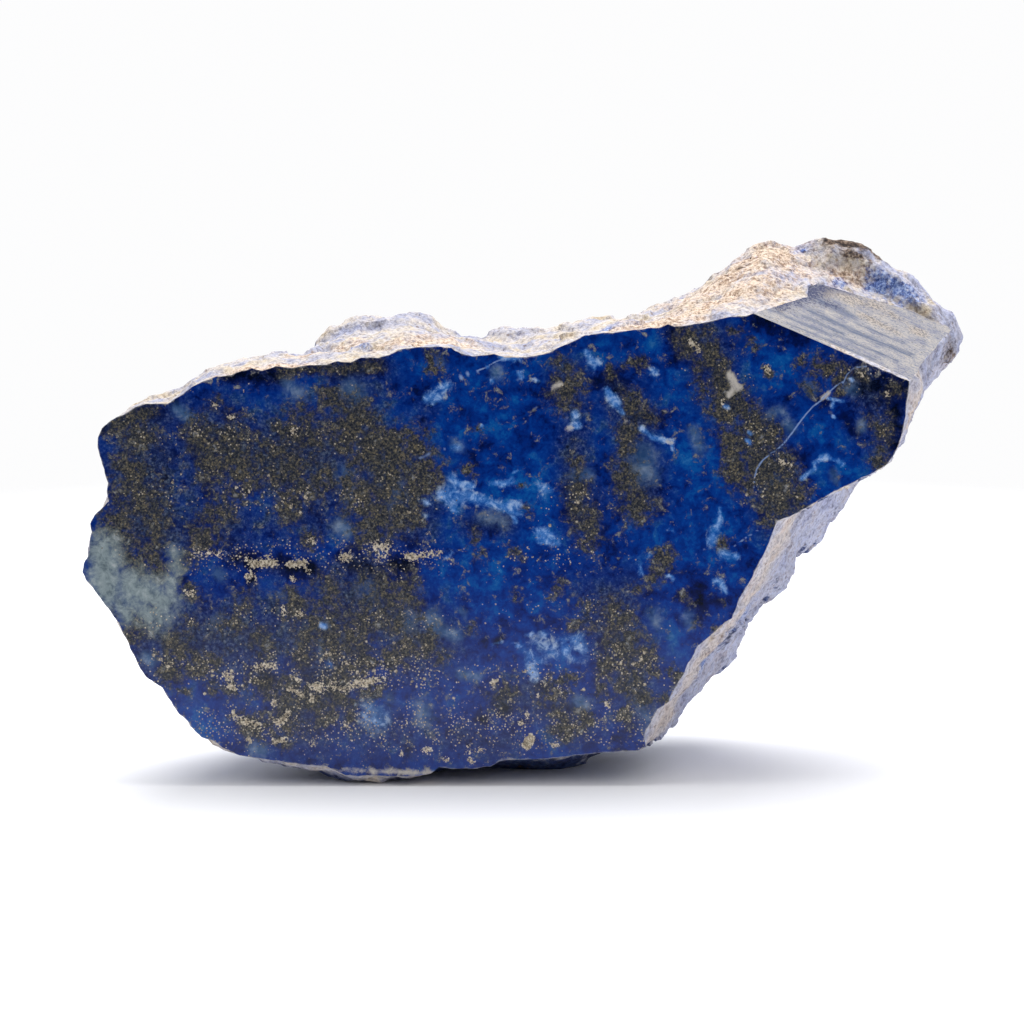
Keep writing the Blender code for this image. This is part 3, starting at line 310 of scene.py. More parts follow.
        (28.8, 14.6, 29.3, 14.5, 0.35, 0.85), (31.4, 13.4, 32.3, 13, 0.7, 0.8), (33.9, 13.3, 35.8, 13, 0.55, 0.8),
        (31, 12, 31, 11.4, 0.35, 0.85), (25.9, 11.3, 25.8, 10.8, 0.35, 0.95), (21.4, 8.6, 22.2, 8.4, 0.6, 0.8),
        (23, 8.2, 23.6, 7.9, 0.5, 0.8), (26, 8.3, 27, 8.6, 0.5, 0.8), (27, 8.9, 27.8, 9.8, 0.45, 0.8),
        (25.8, 5.6, 27.2, 5.9, 0.4, 0.85), (22.1, 6.1, 22.6, 5.7, 0.35, 0.85), (20.2, 9.7, 20.3, 9.2, 0.35, 0.85),
        (31, 5.6, 31.1, 5.3, 0.35, 0.8), (36.8, 13.6, 38.4, 13.9, 0.6, 0.9), (38.4, 14, 41, 14.2, 0.5, 0.85),
        (35.3, 31.2, 36.2, 31.3, 0.5, 0.95), (39.6, 33, 41.3, 32.4, 0.7, 0.7), (40, 31, 41, 31.2, 0.4, 0.75),
        (44.1, 31.5, 45, 31.2, 0.45, 1), (45.5, 31.3, 46.3, 31.4, 0.35, 0.9), (46.9, 31.7, 48.6, 31.7, 0.4, 1),
        (43.3, 29.6, 43.3, 28.3, 0.3, 0.75), (60.4, 5.2, 60.9, 6, 0.45, 2.2), (59.6, 8.3, 60.2, 8.2, 0.4, 0.85),
        (60.3, 9.7, 60.5, 9.4, 0.3, 0.95), (58.2, 9.2, 58.3, 8.8, 0.25, 0.85), (61.8, 12.1, 62.1, 11.9, 0.3, 0.85),
        (46.5, 4.6, 47.2, 4.7, 0.4, 0.85), (43.1, 4.2, 43.2, 3.8, 0.28, 0.85), (52.2, 4.6, 52.8, 4.3, 0.45, 0.8),
        (52.5, 3.2, 52.9, 2.8, 0.4, 0.85), (54, 4.6, 54.2, 4, 0.3, 0.85), (49, 3.3, 49.5, 3.1, 0.35, 0.8),
        (51.7, 11.1, 52, 10.8, 0.3, 0.85), (55.6, 13.4, 56.2, 14.3, 0.4, 0.8), (63.9, 5.3, 64.5, 5.1, 0.35, 0.8),
        (62.6, 13.8, 63, 13.5, 0.3, 0.8), (65, 12.9, 65.2, 12.3, 0.28, 0.85), (71.2, 11, 71.8, 10.6, 0.35, 0.8),
        (35.7, 8, 35.8, 7.7, 0.35, 0.85), (40.9, 16.7, 41.2, 15.8, 0.3, 0.8), (82.5, 60.7, 83.2, 60.2, 0.35, 0.85),
        (83.5, 59.8, 83.7, 59.4, 0.28, 0.95), (87, 52.6, 87.2, 52.3, 0.3, 0.75), (93, 57.2, 93.2, 56.5, 0.4, 0.8),
        (94.9, 44.3, 96.3, 43.7, 0.4, 0.7), (105.7, 56.2, 105.9, 55.8, 0.35, 0.85),
        (109.2, 53.7, 109.4, 53.5, 0.3, 0.85),
    ],
    # where loose pyrite specks are dense
    "specks": [
        (20, 8, 60, 8, 7, 1), (25, 16, 45, 16, 6, 0.9), (60, 10, 76, 8, 6, 0.9), (70, 20, 75, 14, 5, 0.8),
        (15, 30, 47, 31, 3, 0.9), (10, 45, 34, 42, 8, 0.38), (36, 48, 46, 38, 5, 0.32), (83, 60, 92, 46, 4, 0.3),
        (92, 44, 96, 40, 4, 0.5), (60, 28, 68, 36, 5, 0.55), (10, 18, 20, 14, 4, 0.7), (104, 56, 110, 50, 4, 0.25),
    ],
}
# The sawn facet's marks, by distance along its front line and depth behind it
facetMarks = {
    "streak": [
        (8.2, 9, 14, 8.2, 0.8, 1), (14, 8.2, 18.8, 8.3, 0.9, 1), (18.8, 8.3, 22.9, 8.6, 0.8, 1),
        (2, 3.4, 11, 3.8, 0.5, 0.85), (6, 6.2, 13, 6, 0.5, 0.85), (12, 4.6, 21, 4.8, 0.5, 0.85),
        (5, 1.6, 18, 1.8, 0.4, 0.8), (15, 11.2, 22, 11.4, 0.5, 0.8), (9.5, 13.6, 14, 13, 1, 0.85),
    ],
    "violet": [
        (3.2, 5.4, 5.2, 9.9, 1.2, 0.9), (5.2, 9.9, 6.4, 12.7, 1.5, 1), (6.4, 12.7, 8.2, 15.8, 1.7, 1),
        (8.2, 16.2, 9.4, 19, 1.4, 0.9), (10.4, 19.6, 13.4, 21, 0.9, 0.75), (9.6, 13, 11.5, 14, 1.2, 0.65),
    ],
    "beige": [
        (10.6, 17.6, 12.1, 18.3, 1.6, 0.95), (12.1, 18.3, 17.6, 20, 2, 0.95), (23.6, 17.2, 24.2, 18.2, 1.1, 1),
        (16, 15, 20, 14.4, 1.2, 0.8), (17.6, 20, 20.6, 19.4, 1.4, 0.85),
    ],
    # painted shadow: a dark line under the step along the facet's back edge, and a thin dark line near its front
    # edge
    "stepShadowAndEdgeLine": [
        (9.6, 20.4, 12, 21.3, 0.4, 1), (12, 21.3, 15, 22.2, 0.4, 1), (15, 22.2, 19.6, 23.2, 0.35, 0.9),
        (1, 0.9, 14, 1.1, 0.12, 0.7),
    ],
}
facetTip = (8.6, 20.9)      # where the facet's left edge meets its back edge, in the same measures
facetBack = (19.2, 24.4)    # and a place further along its back edge

# The rind's marks: x, depth and z to x, depth and z
rindMarks = {
    "ochre": [
        (76, 6, 63, 92, 16, 66, 5, 0.85), (84, 20, 66, 96, 26, 69, 5, 0.85), (19, 2, 57, 30, 3, 58.5, 1.6, 1),
        (44, 8, 60, 52, 10, 61, 3, 0.8), (30, 10, 59, 36, 12, 60, 2.4, 0.75), (104, 26, 66, 108, 30, 66, 2, 0.9),
        (113, 6, 50, 114, 8, 40, 1.8, 0.7), (104, 8, 36, 98, 8, 26, 2, 0.75), (60, 14, 63, 66, 12, 63, 2.4, 0.75),
    ],
    "lapis": [
        (104.6, 24.5, 66.2, 105.4, 25.4, 66.6, 1.1, 1), (110, 28, 66, 114.5, 28, 63.5, 1.7, 0.95),
        (91, 28, 70.5, 91.5, 28, 70.5, 0.7, 0.8), (98.5, 28, 70.8, 99.5, 29, 70.8, 1, 0.9),
        (56, 16, 63.5, 58, 16, 63.5, 1.2, 0.8), (116, 10, 52, 117, 12, 46, 1.8, 0.85),
        (110, 8, 40, 106, 8, 34, 1.6, 0.8), (36, 8, 58.5, 38, 9, 59, 1, 0.8), (94, 10, 22, 86, 9, 14, 2.6, 0.8),
        (70, 9, 61.8, 72, 10, 62, 1.2, 0.75), (100, 30, 69, 101, 31, 69, 1.2, 0.9),
    ],
    # dark patches in the rind's hollows and on the knob: partly the rock's brown, partly painted shade
    "hollowShadeAndBrown": [
        (103.5, 30, 71.6, 107.5, 31, 70.6, 1.3, 1), (107.5, 31, 70.6, 111.5, 32, 68.8, 1.2, 1),
        (104.5, 29, 70, 109, 29, 68.8, 0.9, 0.8), (119, 16, 57, 121.5, 20, 52, 2.4, 0.72),
        (118, 24, 58, 121, 28, 55, 2.2, 0.7), (119, 10, 50, 117, 10, 45, 1.6, 0.7),
        (117, 8, 55, 119, 12, 51, 2.2, 0.6), (63, 18, 64, 64, 18, 64, 0.9, 0.85),
        (48, 14, 62, 50, 14, 62, 0.8, 0.8), (81, 15, 66, 82, 16, 66, 0.9, 0.8), (90, 24, 69, 91, 24, 69, 1, 0.8),
    ],
}

fineMarks = 0.65        # marks with a smaller half width than this need a finer mesh
markStep = 0.3          # millimetres between the points that stand for such a mark
markMargin = 0.15       # how far past its soft edge the finer mesh goes
markEdge = 1.2          # and the longest edge there, in half widths


def onFace(x, z):
    return Vector((x, z * math.tan(faceTilt), z))


def onFacet(along, depth):
    # facetNormal lies square to facetRun, so a step in depth rises along the facet's slope
    return facetStart + facetRun * along + Vector((0.0, 1.0, 0.0)) * depth \
        - facetNormal * (depth * facetNormal.y)


def sortSurfaces(bm):
    # the solid's flat polished face and flat sawn facet become one face each
    flats = {polished: [], sawn: []}
    planes = ((polished, faceNormal, Vector(), stone["faceMatch"]),
              (sawn, facetNormal, facetStart, stone["facetMatch"]))
    for face in bm.faces:
        centre = face.calc_center_median() / mm + drawingOrigin
        face.material_index = rough
        for surface, normal, start, (square, near) in planes:
            if face.normal.dot(normal) > square and abs((centre - start).dot(normal)) < near:
                flats[surface].append(face)
    for surface, faces in flats.items():
        for face in bmesh.ops.dissolve_faces(bm, faces=faces, use_verts=False)["region"]:
            face.material_index = surface
    # the flat ground beyond the facet's left and back edges is broken rind
    for start, end in ((onFacet(0.0, 0.0), onFacet(*facetTip)), (onFacet(*facetTip), onFacet(*facetBack))):
        outward = facetNormal.cross(end - start).normalized()
        facet = [face for face in bm.faces if face.material_index == sawn]
        edges = {edge: None for face in facet for edge in face.edges}
        verts = {vert: None for face in facet for vert in face.verts}
        bmesh.ops.bisect_plane(bm, geom=facet + list(edges) + list(verts),
                               plane_co=(start - drawingOrigin) * mm, plane_no=outward, dist=1e-7)
        for face in bm.faces:
            centre = face.calc_center_median() / mm + drawingOrigin
            if face.material_index == sawn and (centre - start).dot(outward) > 0.0:
                face.material_index = rough


def smallMarks():
    # points along every small mark, with how far it reaches and the edge length it needs
    points, needs = [], []
    for rows in marks.values():
        for x0, z0, x1, z1, halfWidth, strength in rows:
            if halfWidth < fineMarks:
                pieces = max(1, math.ceil(math.hypot(x1 - x0, z1 - z0) / markStep))
                for i in range(pieces + 1):
                    points.append(onFace(x0 + (x1 - x0) * i / pieces, z0 + (z1 - z0) * i / pieces))
                    needs.append((halfWidth * 2.0 + markMargin, max(stone["fineEdge"], halfWidth * markEdge)))
    tree = kdtree.KDTree(len(points))
    for i, point in enumerate(points):
        tree.insert(point, i)
    tree.balance()
    return tree, needs


def refine(bm):
    # split edges until none is longer than its place allows
    tree, needs = smallMarks()
    for turn in range(stone["passes"]):
        tooLong = []
        for edge in bm.edges:
            surfaces = {face.material_index for face in edge.link_faces}
            middle = (edge.verts[0].co + edge.verts[1].co) / 2.0 / mm + drawingOrigin
            if polished in surfaces:
                limit = stone["faceEdge"]
                nearest, index, distance = tree.find(middle)
                if distance < needs[index][0]:
                    limit = needs[index][1]
            elif sawn in surfaces:
                limit = stone["sawnEdge"]
            else:
                # the rind shows from in front where it faces up, or right on the flank, but not far back
                normal = edge.link_faces[0].normal
                onFlank = normal.x > 0.2 and middle.x > stone["flankStarts"] and middle.y < stone["flankDepth"]
                seen = (normal.z > 0.15 or onFlank) and normal.y < 0.75
                limit = stone["rindEdge"] if seen else stone["backEdge"]
            if edge.calc_length() > limit * mm:
                tooLong.append(edge)
        print("pass", turn, "edges to split", len(tooLong), "faces", len(bm.faces))
        bmesh.ops.subdivide_edges(bm, edges=tooLong, cuts=1)
        bmesh.ops.triangulate(bm, faces=[face for face in bm.faces if len(face.verts) > 3])
        for surface in (polished, sawn):
            flat = [face for face in bm.faces if face.material_index == surface]
            inner = [edge for edge in bm.edges
                     if all(face.material_index == surface for face in edge.link_faces)]
            bmesh.ops.beautify_fill(bm, faces=flat, edges=inner)
            if turn < stone["passes"] - 2:
                inside = [vert for vert in bm.verts
                          if all(face.material_index == surface for face in vert.link_faces)]
                bmesh.ops.smooth_vert(bm, verts=inside, factor=0.5,
                                      use_axis_x=True, use_axis_y=True, use_axis_z=True)


relief = {
    "chipSize": 4.2, "chipHeight": 0.16, "chipTilt": 0.10,      # flat broken chips
    "chipDraw": 7.3,                                            # draws each chip's random tilt
    "lumpSize": 2.2, "lumpHeight": 0.27,                        # crumbly lumps
    "lumpWaves": (0.9, 2.1, 3),                                 # their falloff, step and number of sizes
    "grainSize": 0.8, "grainHeight": 0.16,                      # sugary grain
    "edgeChip": 0.16,                                           # how ragged the flat surfaces' edges are
    "edgeWaves": ((1.1, 0.7), (0.45, 0.3)),                     # sizes of that, each with its share
    "least": 0.25,                                              # share of it right by the polished face
    "fadeIn": 1.2,                                              # and the depth over which it grows to the whole
    "liftIn": 0.5,                                              # it grows over this height from the floor too
    "offFloor": 1e-5,                                           # metres: a lower vertex stands on the floor
}


def chipped(at):
    centre = noise.voronoi(at / relief["chipSize"])[1][0]
    facing = 2.0 * noise.cell_vector(centre * relief["chipDraw"]) - Vector((1.0, 1.0, 1.0))
    return facing.z * relief["chipHeight"] + (at - centre * relief["chipSize"]).dot(facing) * relief["chipTilt"]


def roughen(bm):
    # break up the rough surface, and chip the edges of the flat ones within their planes
    loose = [vert for vert in bm.verts
             if all(face.material_index == rough for face in vert.link_faces) and vert.co.z > relief["offFloor"]]
    for turn in range(stone["softening"]):
        bmesh.ops.smooth_vert(bm, verts=loose, factor=0.5, use_axis_x=True, use_axis_y=True, use_axis_z=True)
    bm.normal_update()
    loose = set(loose)
    moves = []
    for vert in bm.verts:
        at = vert.co / mm + drawingOrigin
        if vert in loose:
            lumps = noise.fractal(at / relief["lumpSize"], *relief["lumpWaves"]) * relief["lumpHeight"]
            grain = noise.noise(at / relief["grainSize"]) * relief["grainHeight"]
            fade = min(1.0, relief["least"] + abs(at.dot(faceNormal)) / relief["fadeIn"])
            lift = min(1.0, vert.co.z / mm / relief["liftIn"])
            moves.append((vert, vert.normal * (chipped(at) + lumps + grain) * (fade * lift)))
        elif vert.co.z > relief["offFloor"]:
            surfaces = {face.material_index for face in vert.link_faces}
            (longer, most), (shorter, least) = relief["edgeWaves"]
            shift = noise.noise_vector(at / longer) * most + noise.noise_vector(at / shorter) * least
            for surface, normal in ((polished, faceNormal), (sawn, facetNormal)):
                if surface in surfaces:
                    shift -= normal * shift.dot(normal)
            moves.append((vert, shift * relief["edgeChip"]))
    for vert, move in moves:
        vert.co += move * mm
        vert.co.z = max(vert.co.z, 0.0)


def strokeField(points, rows):
    # 1 along the middle of each stroke, a half at its half width, 0 at twice that
    amount = np.zeros(len(points))
    for row in rows:
        size = (len(row) - 2) // 2
        start, end = np.array(row[:size], float), np.array(row[size:2 * size], float)
        span = end - start
        share = np.clip((points - start) @ span / max(span @ span, 1e-9), 0.0, 1.0)
        away = np.linalg.norm(points - start - share[:, None] * span, axis=1)
        amount = np.maximum(amount, row[-1] * np.clip(1.0 - away / (2.0 * row[-2]), 0.0, 1.0))
    return amount


rind = {
    "crust": 0.45, "crustUp": 0.9, "crustRight": 0.5,   # share of pale crust, more facing up and right
    "crustBack": 0.25,                                  # and less facing back
    "crustFront": 1.1, "frontDepth": 6.0,               # and more this close behind the polished face
    "flankFacing": 0.1, "flankGain": 1.6,               # how far the flank's ground faces right
    "flankFrom": 66.0, "flankOver": 8.0,                # and the x where it fades in
    "bandDepth": 12.0,                                  # how deep the bands of its colour run
}


def paintMarks(mesh):
    # every mark becomes a number at each vertex, which the materials read by its name
    count = len(mesh.vertices)
    places, normals = np.empty(count * 3), np.empty(count * 3)
    mesh.vertices.foreach_get("co", places)
    mesh.vertices.foreach_get("normal", normals)
    places = places.reshape(-1, 3) / mm + np.array(drawingOrigin)
    normals = normals.reshape(-1, 3)
    values = {name: strokeField(places[:, [0, 2]], rows) for name, rows in marks.items()}
    alongFacet = np.stack([(places - np.array(facetStart)) @ np.array(facetRun),
                           places[:, 1] - facetStart.y], axis=1)
    values.update({name: strokeField(alongFacet, rows) for name, rows in facetMarks.items()})
    values.update({name: strokeField(places, rows) for name, rows in rindMarks.items()})
    # how much of the rind is pale crust, and how deep behind the polished face it lies
    depth = places @ -np.array(faceNormal)
    facing = (rind["crust"] + rind["crustUp"] * normals[:, 2] - rind["crustBack"] * normals[:, 1]
              + rind["crustRight"] * normals[:, 0])
    front = np.clip(1.0 - depth / rind["frontDepth"], 0.0, 1.0)
    values["crust"] = np.clip(facing + rind["crustFront"] * front, 0.0, 1.0)
    values["flank"] = (np.clip((normals[:, 0] - rind["flankFacing"]) * rind["flankGain"], 0.0, 1.0)
                       * np.clip((places[:, 0] - rind["flankFrom"]) / rind["flankOver"], 0.0, 1.0))
    values["behind"] = np.clip(depth / rind["bandDepth"], 0.0, 1.0)
    # the pale chipped edge of the polished face
    values["rim"] = np.zeros(count)
    faceVerts = {vert for face in mesh.polygons if face.material_index == polished for vert in face.vertices}
    rindVerts = {vert for face in mesh.polygons if face.material_index == rough for vert in face.vertices}
    values["rim"][sorted(faceVerts & rindVerts)] = 1.0
    for name, amounts in values.items():
        mesh.attributes.new(name, "FLOAT", "POINT").data.foreach_set("value", amounts.astype(np.float32))


def makeStone():
    bm = bmesh.new()
    bm.from_mesh(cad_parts[stone["node"]].data)
    bmesh.ops.remove_doubles(bm, verts=bm.verts, dist=1e-6)
    sortSurfaces(bm)
    refine(bm)
    roughen(bm)
    for edge in bm.edges:
        edge.smooth = len({face.material_index for face in edge.link_faces}) == 1
    for face in bm.faces:
        face.smooth = True
    mesh = bpy.data.meshes.new("lapisStone")
    bm.to_mesh(mesh)
    bm.free()
    paintMarks(mesh)
    piece = bpy.data.objects.new("lapisStone", mesh)
    bpy.context.scene.collection.objects.link(piece)
    print("stone:", len(mesh.polygons), "triangles")
    return piece


# Materials

def newMaterial(name):
    material = bpy.data.materials.new(name)
    material.use_nodes = True
    tree = material.node_tree
    place = addNode(tree, "TexCoord", output="Object")
    inMillimetres = addNode(tree, "VectorMath", {0: place, "Scale": 1.0 / mm}, operation="SCALE")
    return material, tree, tree.nodes["Principled BSDF"], partial(addNode, tree), inMillimetres


def inlay(add, look, name, tear, amount, soft, over, level=0.5):
    # lay a colour over the look where a mark is painted, torn by a noise: level is the painted
    # amount that half covers, and a bigger amount breaks the mark up more
    painted = add("Attribute", output="Fac", attribute_name=name)
    torn = add("Math", {0: tear, 1: amount, 2: painted}, operation="MULTIPLY_ADD")
    middle = level + amount * 0.5
    mask = add("MapRange", {"Value": torn, "From Min": middle - soft, "From Max": middle + soft},
               interpolation_type="SMOOTHSTEP")
    return add("Mix", {0: mask, 6: look, 7: over}, 2, data_type="RGBA"), mask


def speckles(add, place, cell, radius, density):
    # round specks in some cells of a grid of loose cells; density is the share that has one
    cells = {"Vector": place, "Scale": 1.0 / cell}
    chosen = add("Math", {0: add("TexVoronoi", cells, "Color"), 1: density}, operation="LESS_THAN")
    near = add("MapRange", {"Value": add("TexVoronoi", cells, "Distance"), "From Min": radius * 1.25,
                            "From Max": radius * 0.75})
    return add("Math", {0: chosen, 1: near}, operation="MULTIPLY")


# The face: deep saturated blue in soft clouds, dulled to slate and brown where pyrite is fine and
# dense, with pale lace, grey calcite, white veins and small golden grains under a clear polish.
# Clouds are 5 mm and puffs 2 mm across. The crystals are finer than 0.1 mm, too fine to show, so
# they are drawn as grain and grit of a third of a millimetre
def polishedLapis():
    material, tree, shader, add, place = newMaterial("polished lapis lazuli")
    cloud = add("TexNoise", {"Vector": place, "Scale": 1.0 / 5.0, "Detail": 4.0, "Roughness": 0.6})
    puff = add("TexNoise", {"Vector": place, "W": 3.0, "Scale": 1.0 / 1.9, "Detail": 5.0, "Roughness": 0.62,
                            "Distortion": 0.4}, noise_dimensions="4D")
    grain = add("TexNoise", {"Vector": place, "W": 7.0, "Scale": 1.0 / 0.36, "Detail": 2.0, "Roughness": 0.6},
                noise_dimensions="4D")
    grit = add("TexNoise", {"Vector": place, "W": 17.0, "Scale": 1.0 / 0.3, "Detail": 2.0, "Roughness": 0.7},
               noise_dimensions="4D")
    tear = add("TexNoise", {"Vector": place, "W": 11.0, "Scale": 1.0 / 1.3, "Detail": 5.0, "Roughness": 0.72,
                            "Distortion": 0.4}, noise_dimensions="4D")
    shade = add("Math", {0: puff, 1: 0.8, 2: add("Math", {0: grain, 1: 0.2}, operation="MULTIPLY")},
                operation="MULTIPLY_ADD")
    shade = add("Math", {0: cloud, 1: 0.4, 2: shade}, operation="MULTIPLY_ADD")
    for name, share in (("vivid", 0.09), ("lace", 0.12), ("navy", -0.32), ("dull", -0.05)):
        shade = add("Math", {0: add("Attribute", output="Fac", attribute_name=name), 1: share, 2: shade},
                    operation="MULTIPLY_ADD")
    look = add("ValToRGB", {0: shade}, stops=[(0.42, "#010922"), (0.56, "#01144d"), (0.66, "#012674"),
                                              (0.76, "#033688"), (0.87, "#084f98"), (1.00, "#2f73ae")])
    slate = add("ValToRGB", {0: grain}, stops=[(0.34, "#0e1326"), (0.47, "#1f2a47"), (0.57, "#38455e"),
                                               (0.70, "#626a76")])
    look, dull = inlay(add, look, "dull", puff, 2.0, 0.45, slate, 0.66)
    haze = add("ValToRGB", {0: puff}, stops=[(0.35, "#27456f"), (0.5, "#466389"), (0.65, "#7e8fa6")])
    look = inlay(add, look, "haze", tear, 1.2, 0.45, haze, 0.55)[0]
    rock = add("ValToRGB", {0: grit}, stops=[(0.34, "#141822"), (0.46, "#2b2f39"), (0.55, "#474640"),
                                             (0.64, "#665d4a"), (0.76, "#93856b")])
    look, brown = inlay(add, look, "brown", tear, 3.2, 0.36, rock, 0.46)
    stray = add("MapRange", {"Value": tear, "From Min": 0.60, "From Max": 0.69, "To Max": 0.75})
    look = add("Mix", {0: stray, 6: look, 7: rock}, 2, data_type="RGBA")
    calcite = add("ValToRGB", {0: tear}, stops=[(0.34, "#5b686c"), (0.48, "#7a888d"), (0.62, "#8f9c9f")])
    look = inlay(add, look, "calcite", tear, 1.2, 0.42, calcite)[0]
    lace = add("ValToRGB", {0: tear}, stops=[(0.38, "#1f5cae"), (0.5, "#4c7fc2"), (0.62, "#97b3dc")])
    look = inlay(add, look, "lace", tear, 1.6, 0.36, lace)[0]
    look = inlay(add, look, "cream", tear, 2.0, 0.36, colour("#bbb5ad"), 0.48)[0]
    look = inlay(add, look, "rim", tear, 2.0, 0.4, colour("#a19fa2"), 0.95)[0]
    look = inlay(add, look, "vein", tear, 0.5, 0.3, colour("#7f97c4"), 0.6)[0]
    nugget = add("ValToRGB", {0: grit}, stops=[(0.36, "#5f564a"), (0.5, "#a19580"), (0.64, "#d4cab9")])
    look, golden = inlay(add, look, "gold", grit, 1.8, 0.12, nugget, 0.52)

    density = add("Math", {0: add("Attribute", output="Fac", attribute_name="specks"), 1: 0.42, 2: 0.014},
                  operation="MULTIPLY_ADD")
    density = add("Math", {0: dull, 1: 0.04, 2: density}, operation="MULTIPLY_ADD")
    density = add("Math", {0: brown, 1: 0.07, 2: density}, operation="MULTIPLY_ADD")
    clusters = add("MapRange", {"Value": puff, "From Min": 0.36, "From Max": 0.62, "To Min": 0.25, "To Max": 1.9})
    density = add("Math", {0: density, 1: clusters}, operation="MULTIPLY")
    shaken = add("VectorMath", {0: add("TexNoise", {"Vector": place, "Scale": 1.0 / 0.25, "Detail": 1.0}, "Color"),
                                1: (0.2, 0.2, 0.2), 2: place}, operation="MULTIPLY_ADD")
    fine = speckles(add, shaken, 0.36, 0.29, density)
    coarse = speckles(add, shaken, 1.0, 0.24, add("Math", {0: density, 1: 0.5}, operation="MULTIPLY"))
    specks = add("Math", {0: fine, 1: coarse}, operation="MAXIMUM")
    look = add("Mix", {0: specks, 6: look, 7: nugget}, 2, data_type="RGBA")
    metal = add("Math", {0: specks, 1: golden}, operation="MAXIMUM")
    tree.links.new(look, shader.inputs["Base Color"])
    tree.links.new(add("Math", {0: metal, 1: 0.35}, operation="MULTIPLY"), shader.inputs["Metallic"])
    gloss = add("Math", {0: brown, 1: 0.1, 2: 0.14}, operation="MULTIPLY_ADD")
    tree.links.new(add("Math", {0: metal, 1: 0.2, 2: gloss}, operation="MULTIPLY_ADD"), shader.inputs["Roughness"])
    shader.inputs["Specular IOR Level"].default_value = 0.3
    pits = add("Bump", {"Height": add("Math", {0: grain, 1: brown}, operation="MULTIPLY"),
                        "Distance": 0.02 * mm, "Strength": 0.5})
    tree.links.new(pits, shader.inputs["Normal"])
    return material


# The facet: matt grey-blue, drawn along its length by the saw, with warm and violet patches. The
# saw's lines lie 0.4 mm apart and are seven times as long
def sawnLapis():
    material, tree, shader, add, place = newMaterial("sawn lapis lazuli")
    along = add("VectorMath", {0: place, 1: facetRun}, "Value", operation="DOT_PRODUCT")
    across = add("VectorMath", {0: place, 1: facetRun.cross(facetNormal)}, "Value", operation="DOT_PRODUCT")
    drawn = add("CombineXYZ", {0: add("Math", {0: along, 1: 0.14}, operation="MULTIPLY"), 1: across})
    lines = add("TexNoise", {"Vector": drawn, "Scale": 2.4, "Detail": 5.0, "Roughness": 0.7})
    cloud = add("TexNoise", {"Vector": place, "Scale": 1.0 / 3.0, "Detail": 6.0, "Roughness": 0.7})
    grain = add("TexNoise", {"Vector": place, "Scale": 1.0 / 0.36, "Detail": 3.0, "Roughness": 0.7})
    shade = add("Math", {0: lines, 1: 0.4, 2: add("Math", {0: cloud, 1: 0.35}, operation="MULTIPLY")},
                operation="MULTIPLY_ADD")
    shade = add("Math", {0: grain, 1: 0.45, 2: shade}, operation="MULTIPLY_ADD")
    look = add("ValToRGB", {0: shade}, stops=[(0.44, "#485070"), (0.53, "#6e7084"), (0.60, "#929092"),
                                              (0.68, "#b2aaa3"), (0.76, "#d2cdcb")])
    tan = add("ValToRGB", {0: grain}, stops=[(0.38, "#4a464a"), (0.48, "#877e79"), (0.6, "#c2b5a6")])
    look = inlay(add, look, "beige", cloud, 2.8, 0.5, tan, 0.55)[0]
    look = inlay(add, look, "streak", lines, 4.4, 0.45, colour("#505a72"), 0.6)[0]
    look = inlay(add, look, "violet", grain, 3.6, 0.4, colour("#222a52"), 0.55)[0]
    # painted shadow: the dark line along the facet's back edge, with the thin line near its front
    look = inlay(add, look, "stepShadowAndEdgeLine", cloud, 0.9, 0.25, colour("#4e4a48"))[0]
    specks = speckles(add, place, 0.5, 0.3, 0.22)
    look = add("Mix", {0: add("Math", {0: specks, 1: 0.65}, operation="MULTIPLY"), 6: look,
                       7: colour("#43464f")}, 2, data_type="RGBA")
    tree.links.new(look, shader.inputs["Base Color"])
    tree.links.new(add("Math", {0: grain, 1: 0.25, 2: 0.62}, operation="MULTIPLY_ADD"), shader.inputs["Roughness"])
    ridges = add("Math", {0: lines, 1: 0.7, 2: add("Math", {0: grain, 1: 0.6}, operation="MULTIPLY")},
                 operation="MULTIPLY_ADD")
    tree.links.new(add("Bump", {"Height": ridges, "Distance": 0.12 * mm, "Strength": 0.8}), shader.inputs["Normal"])
    return material
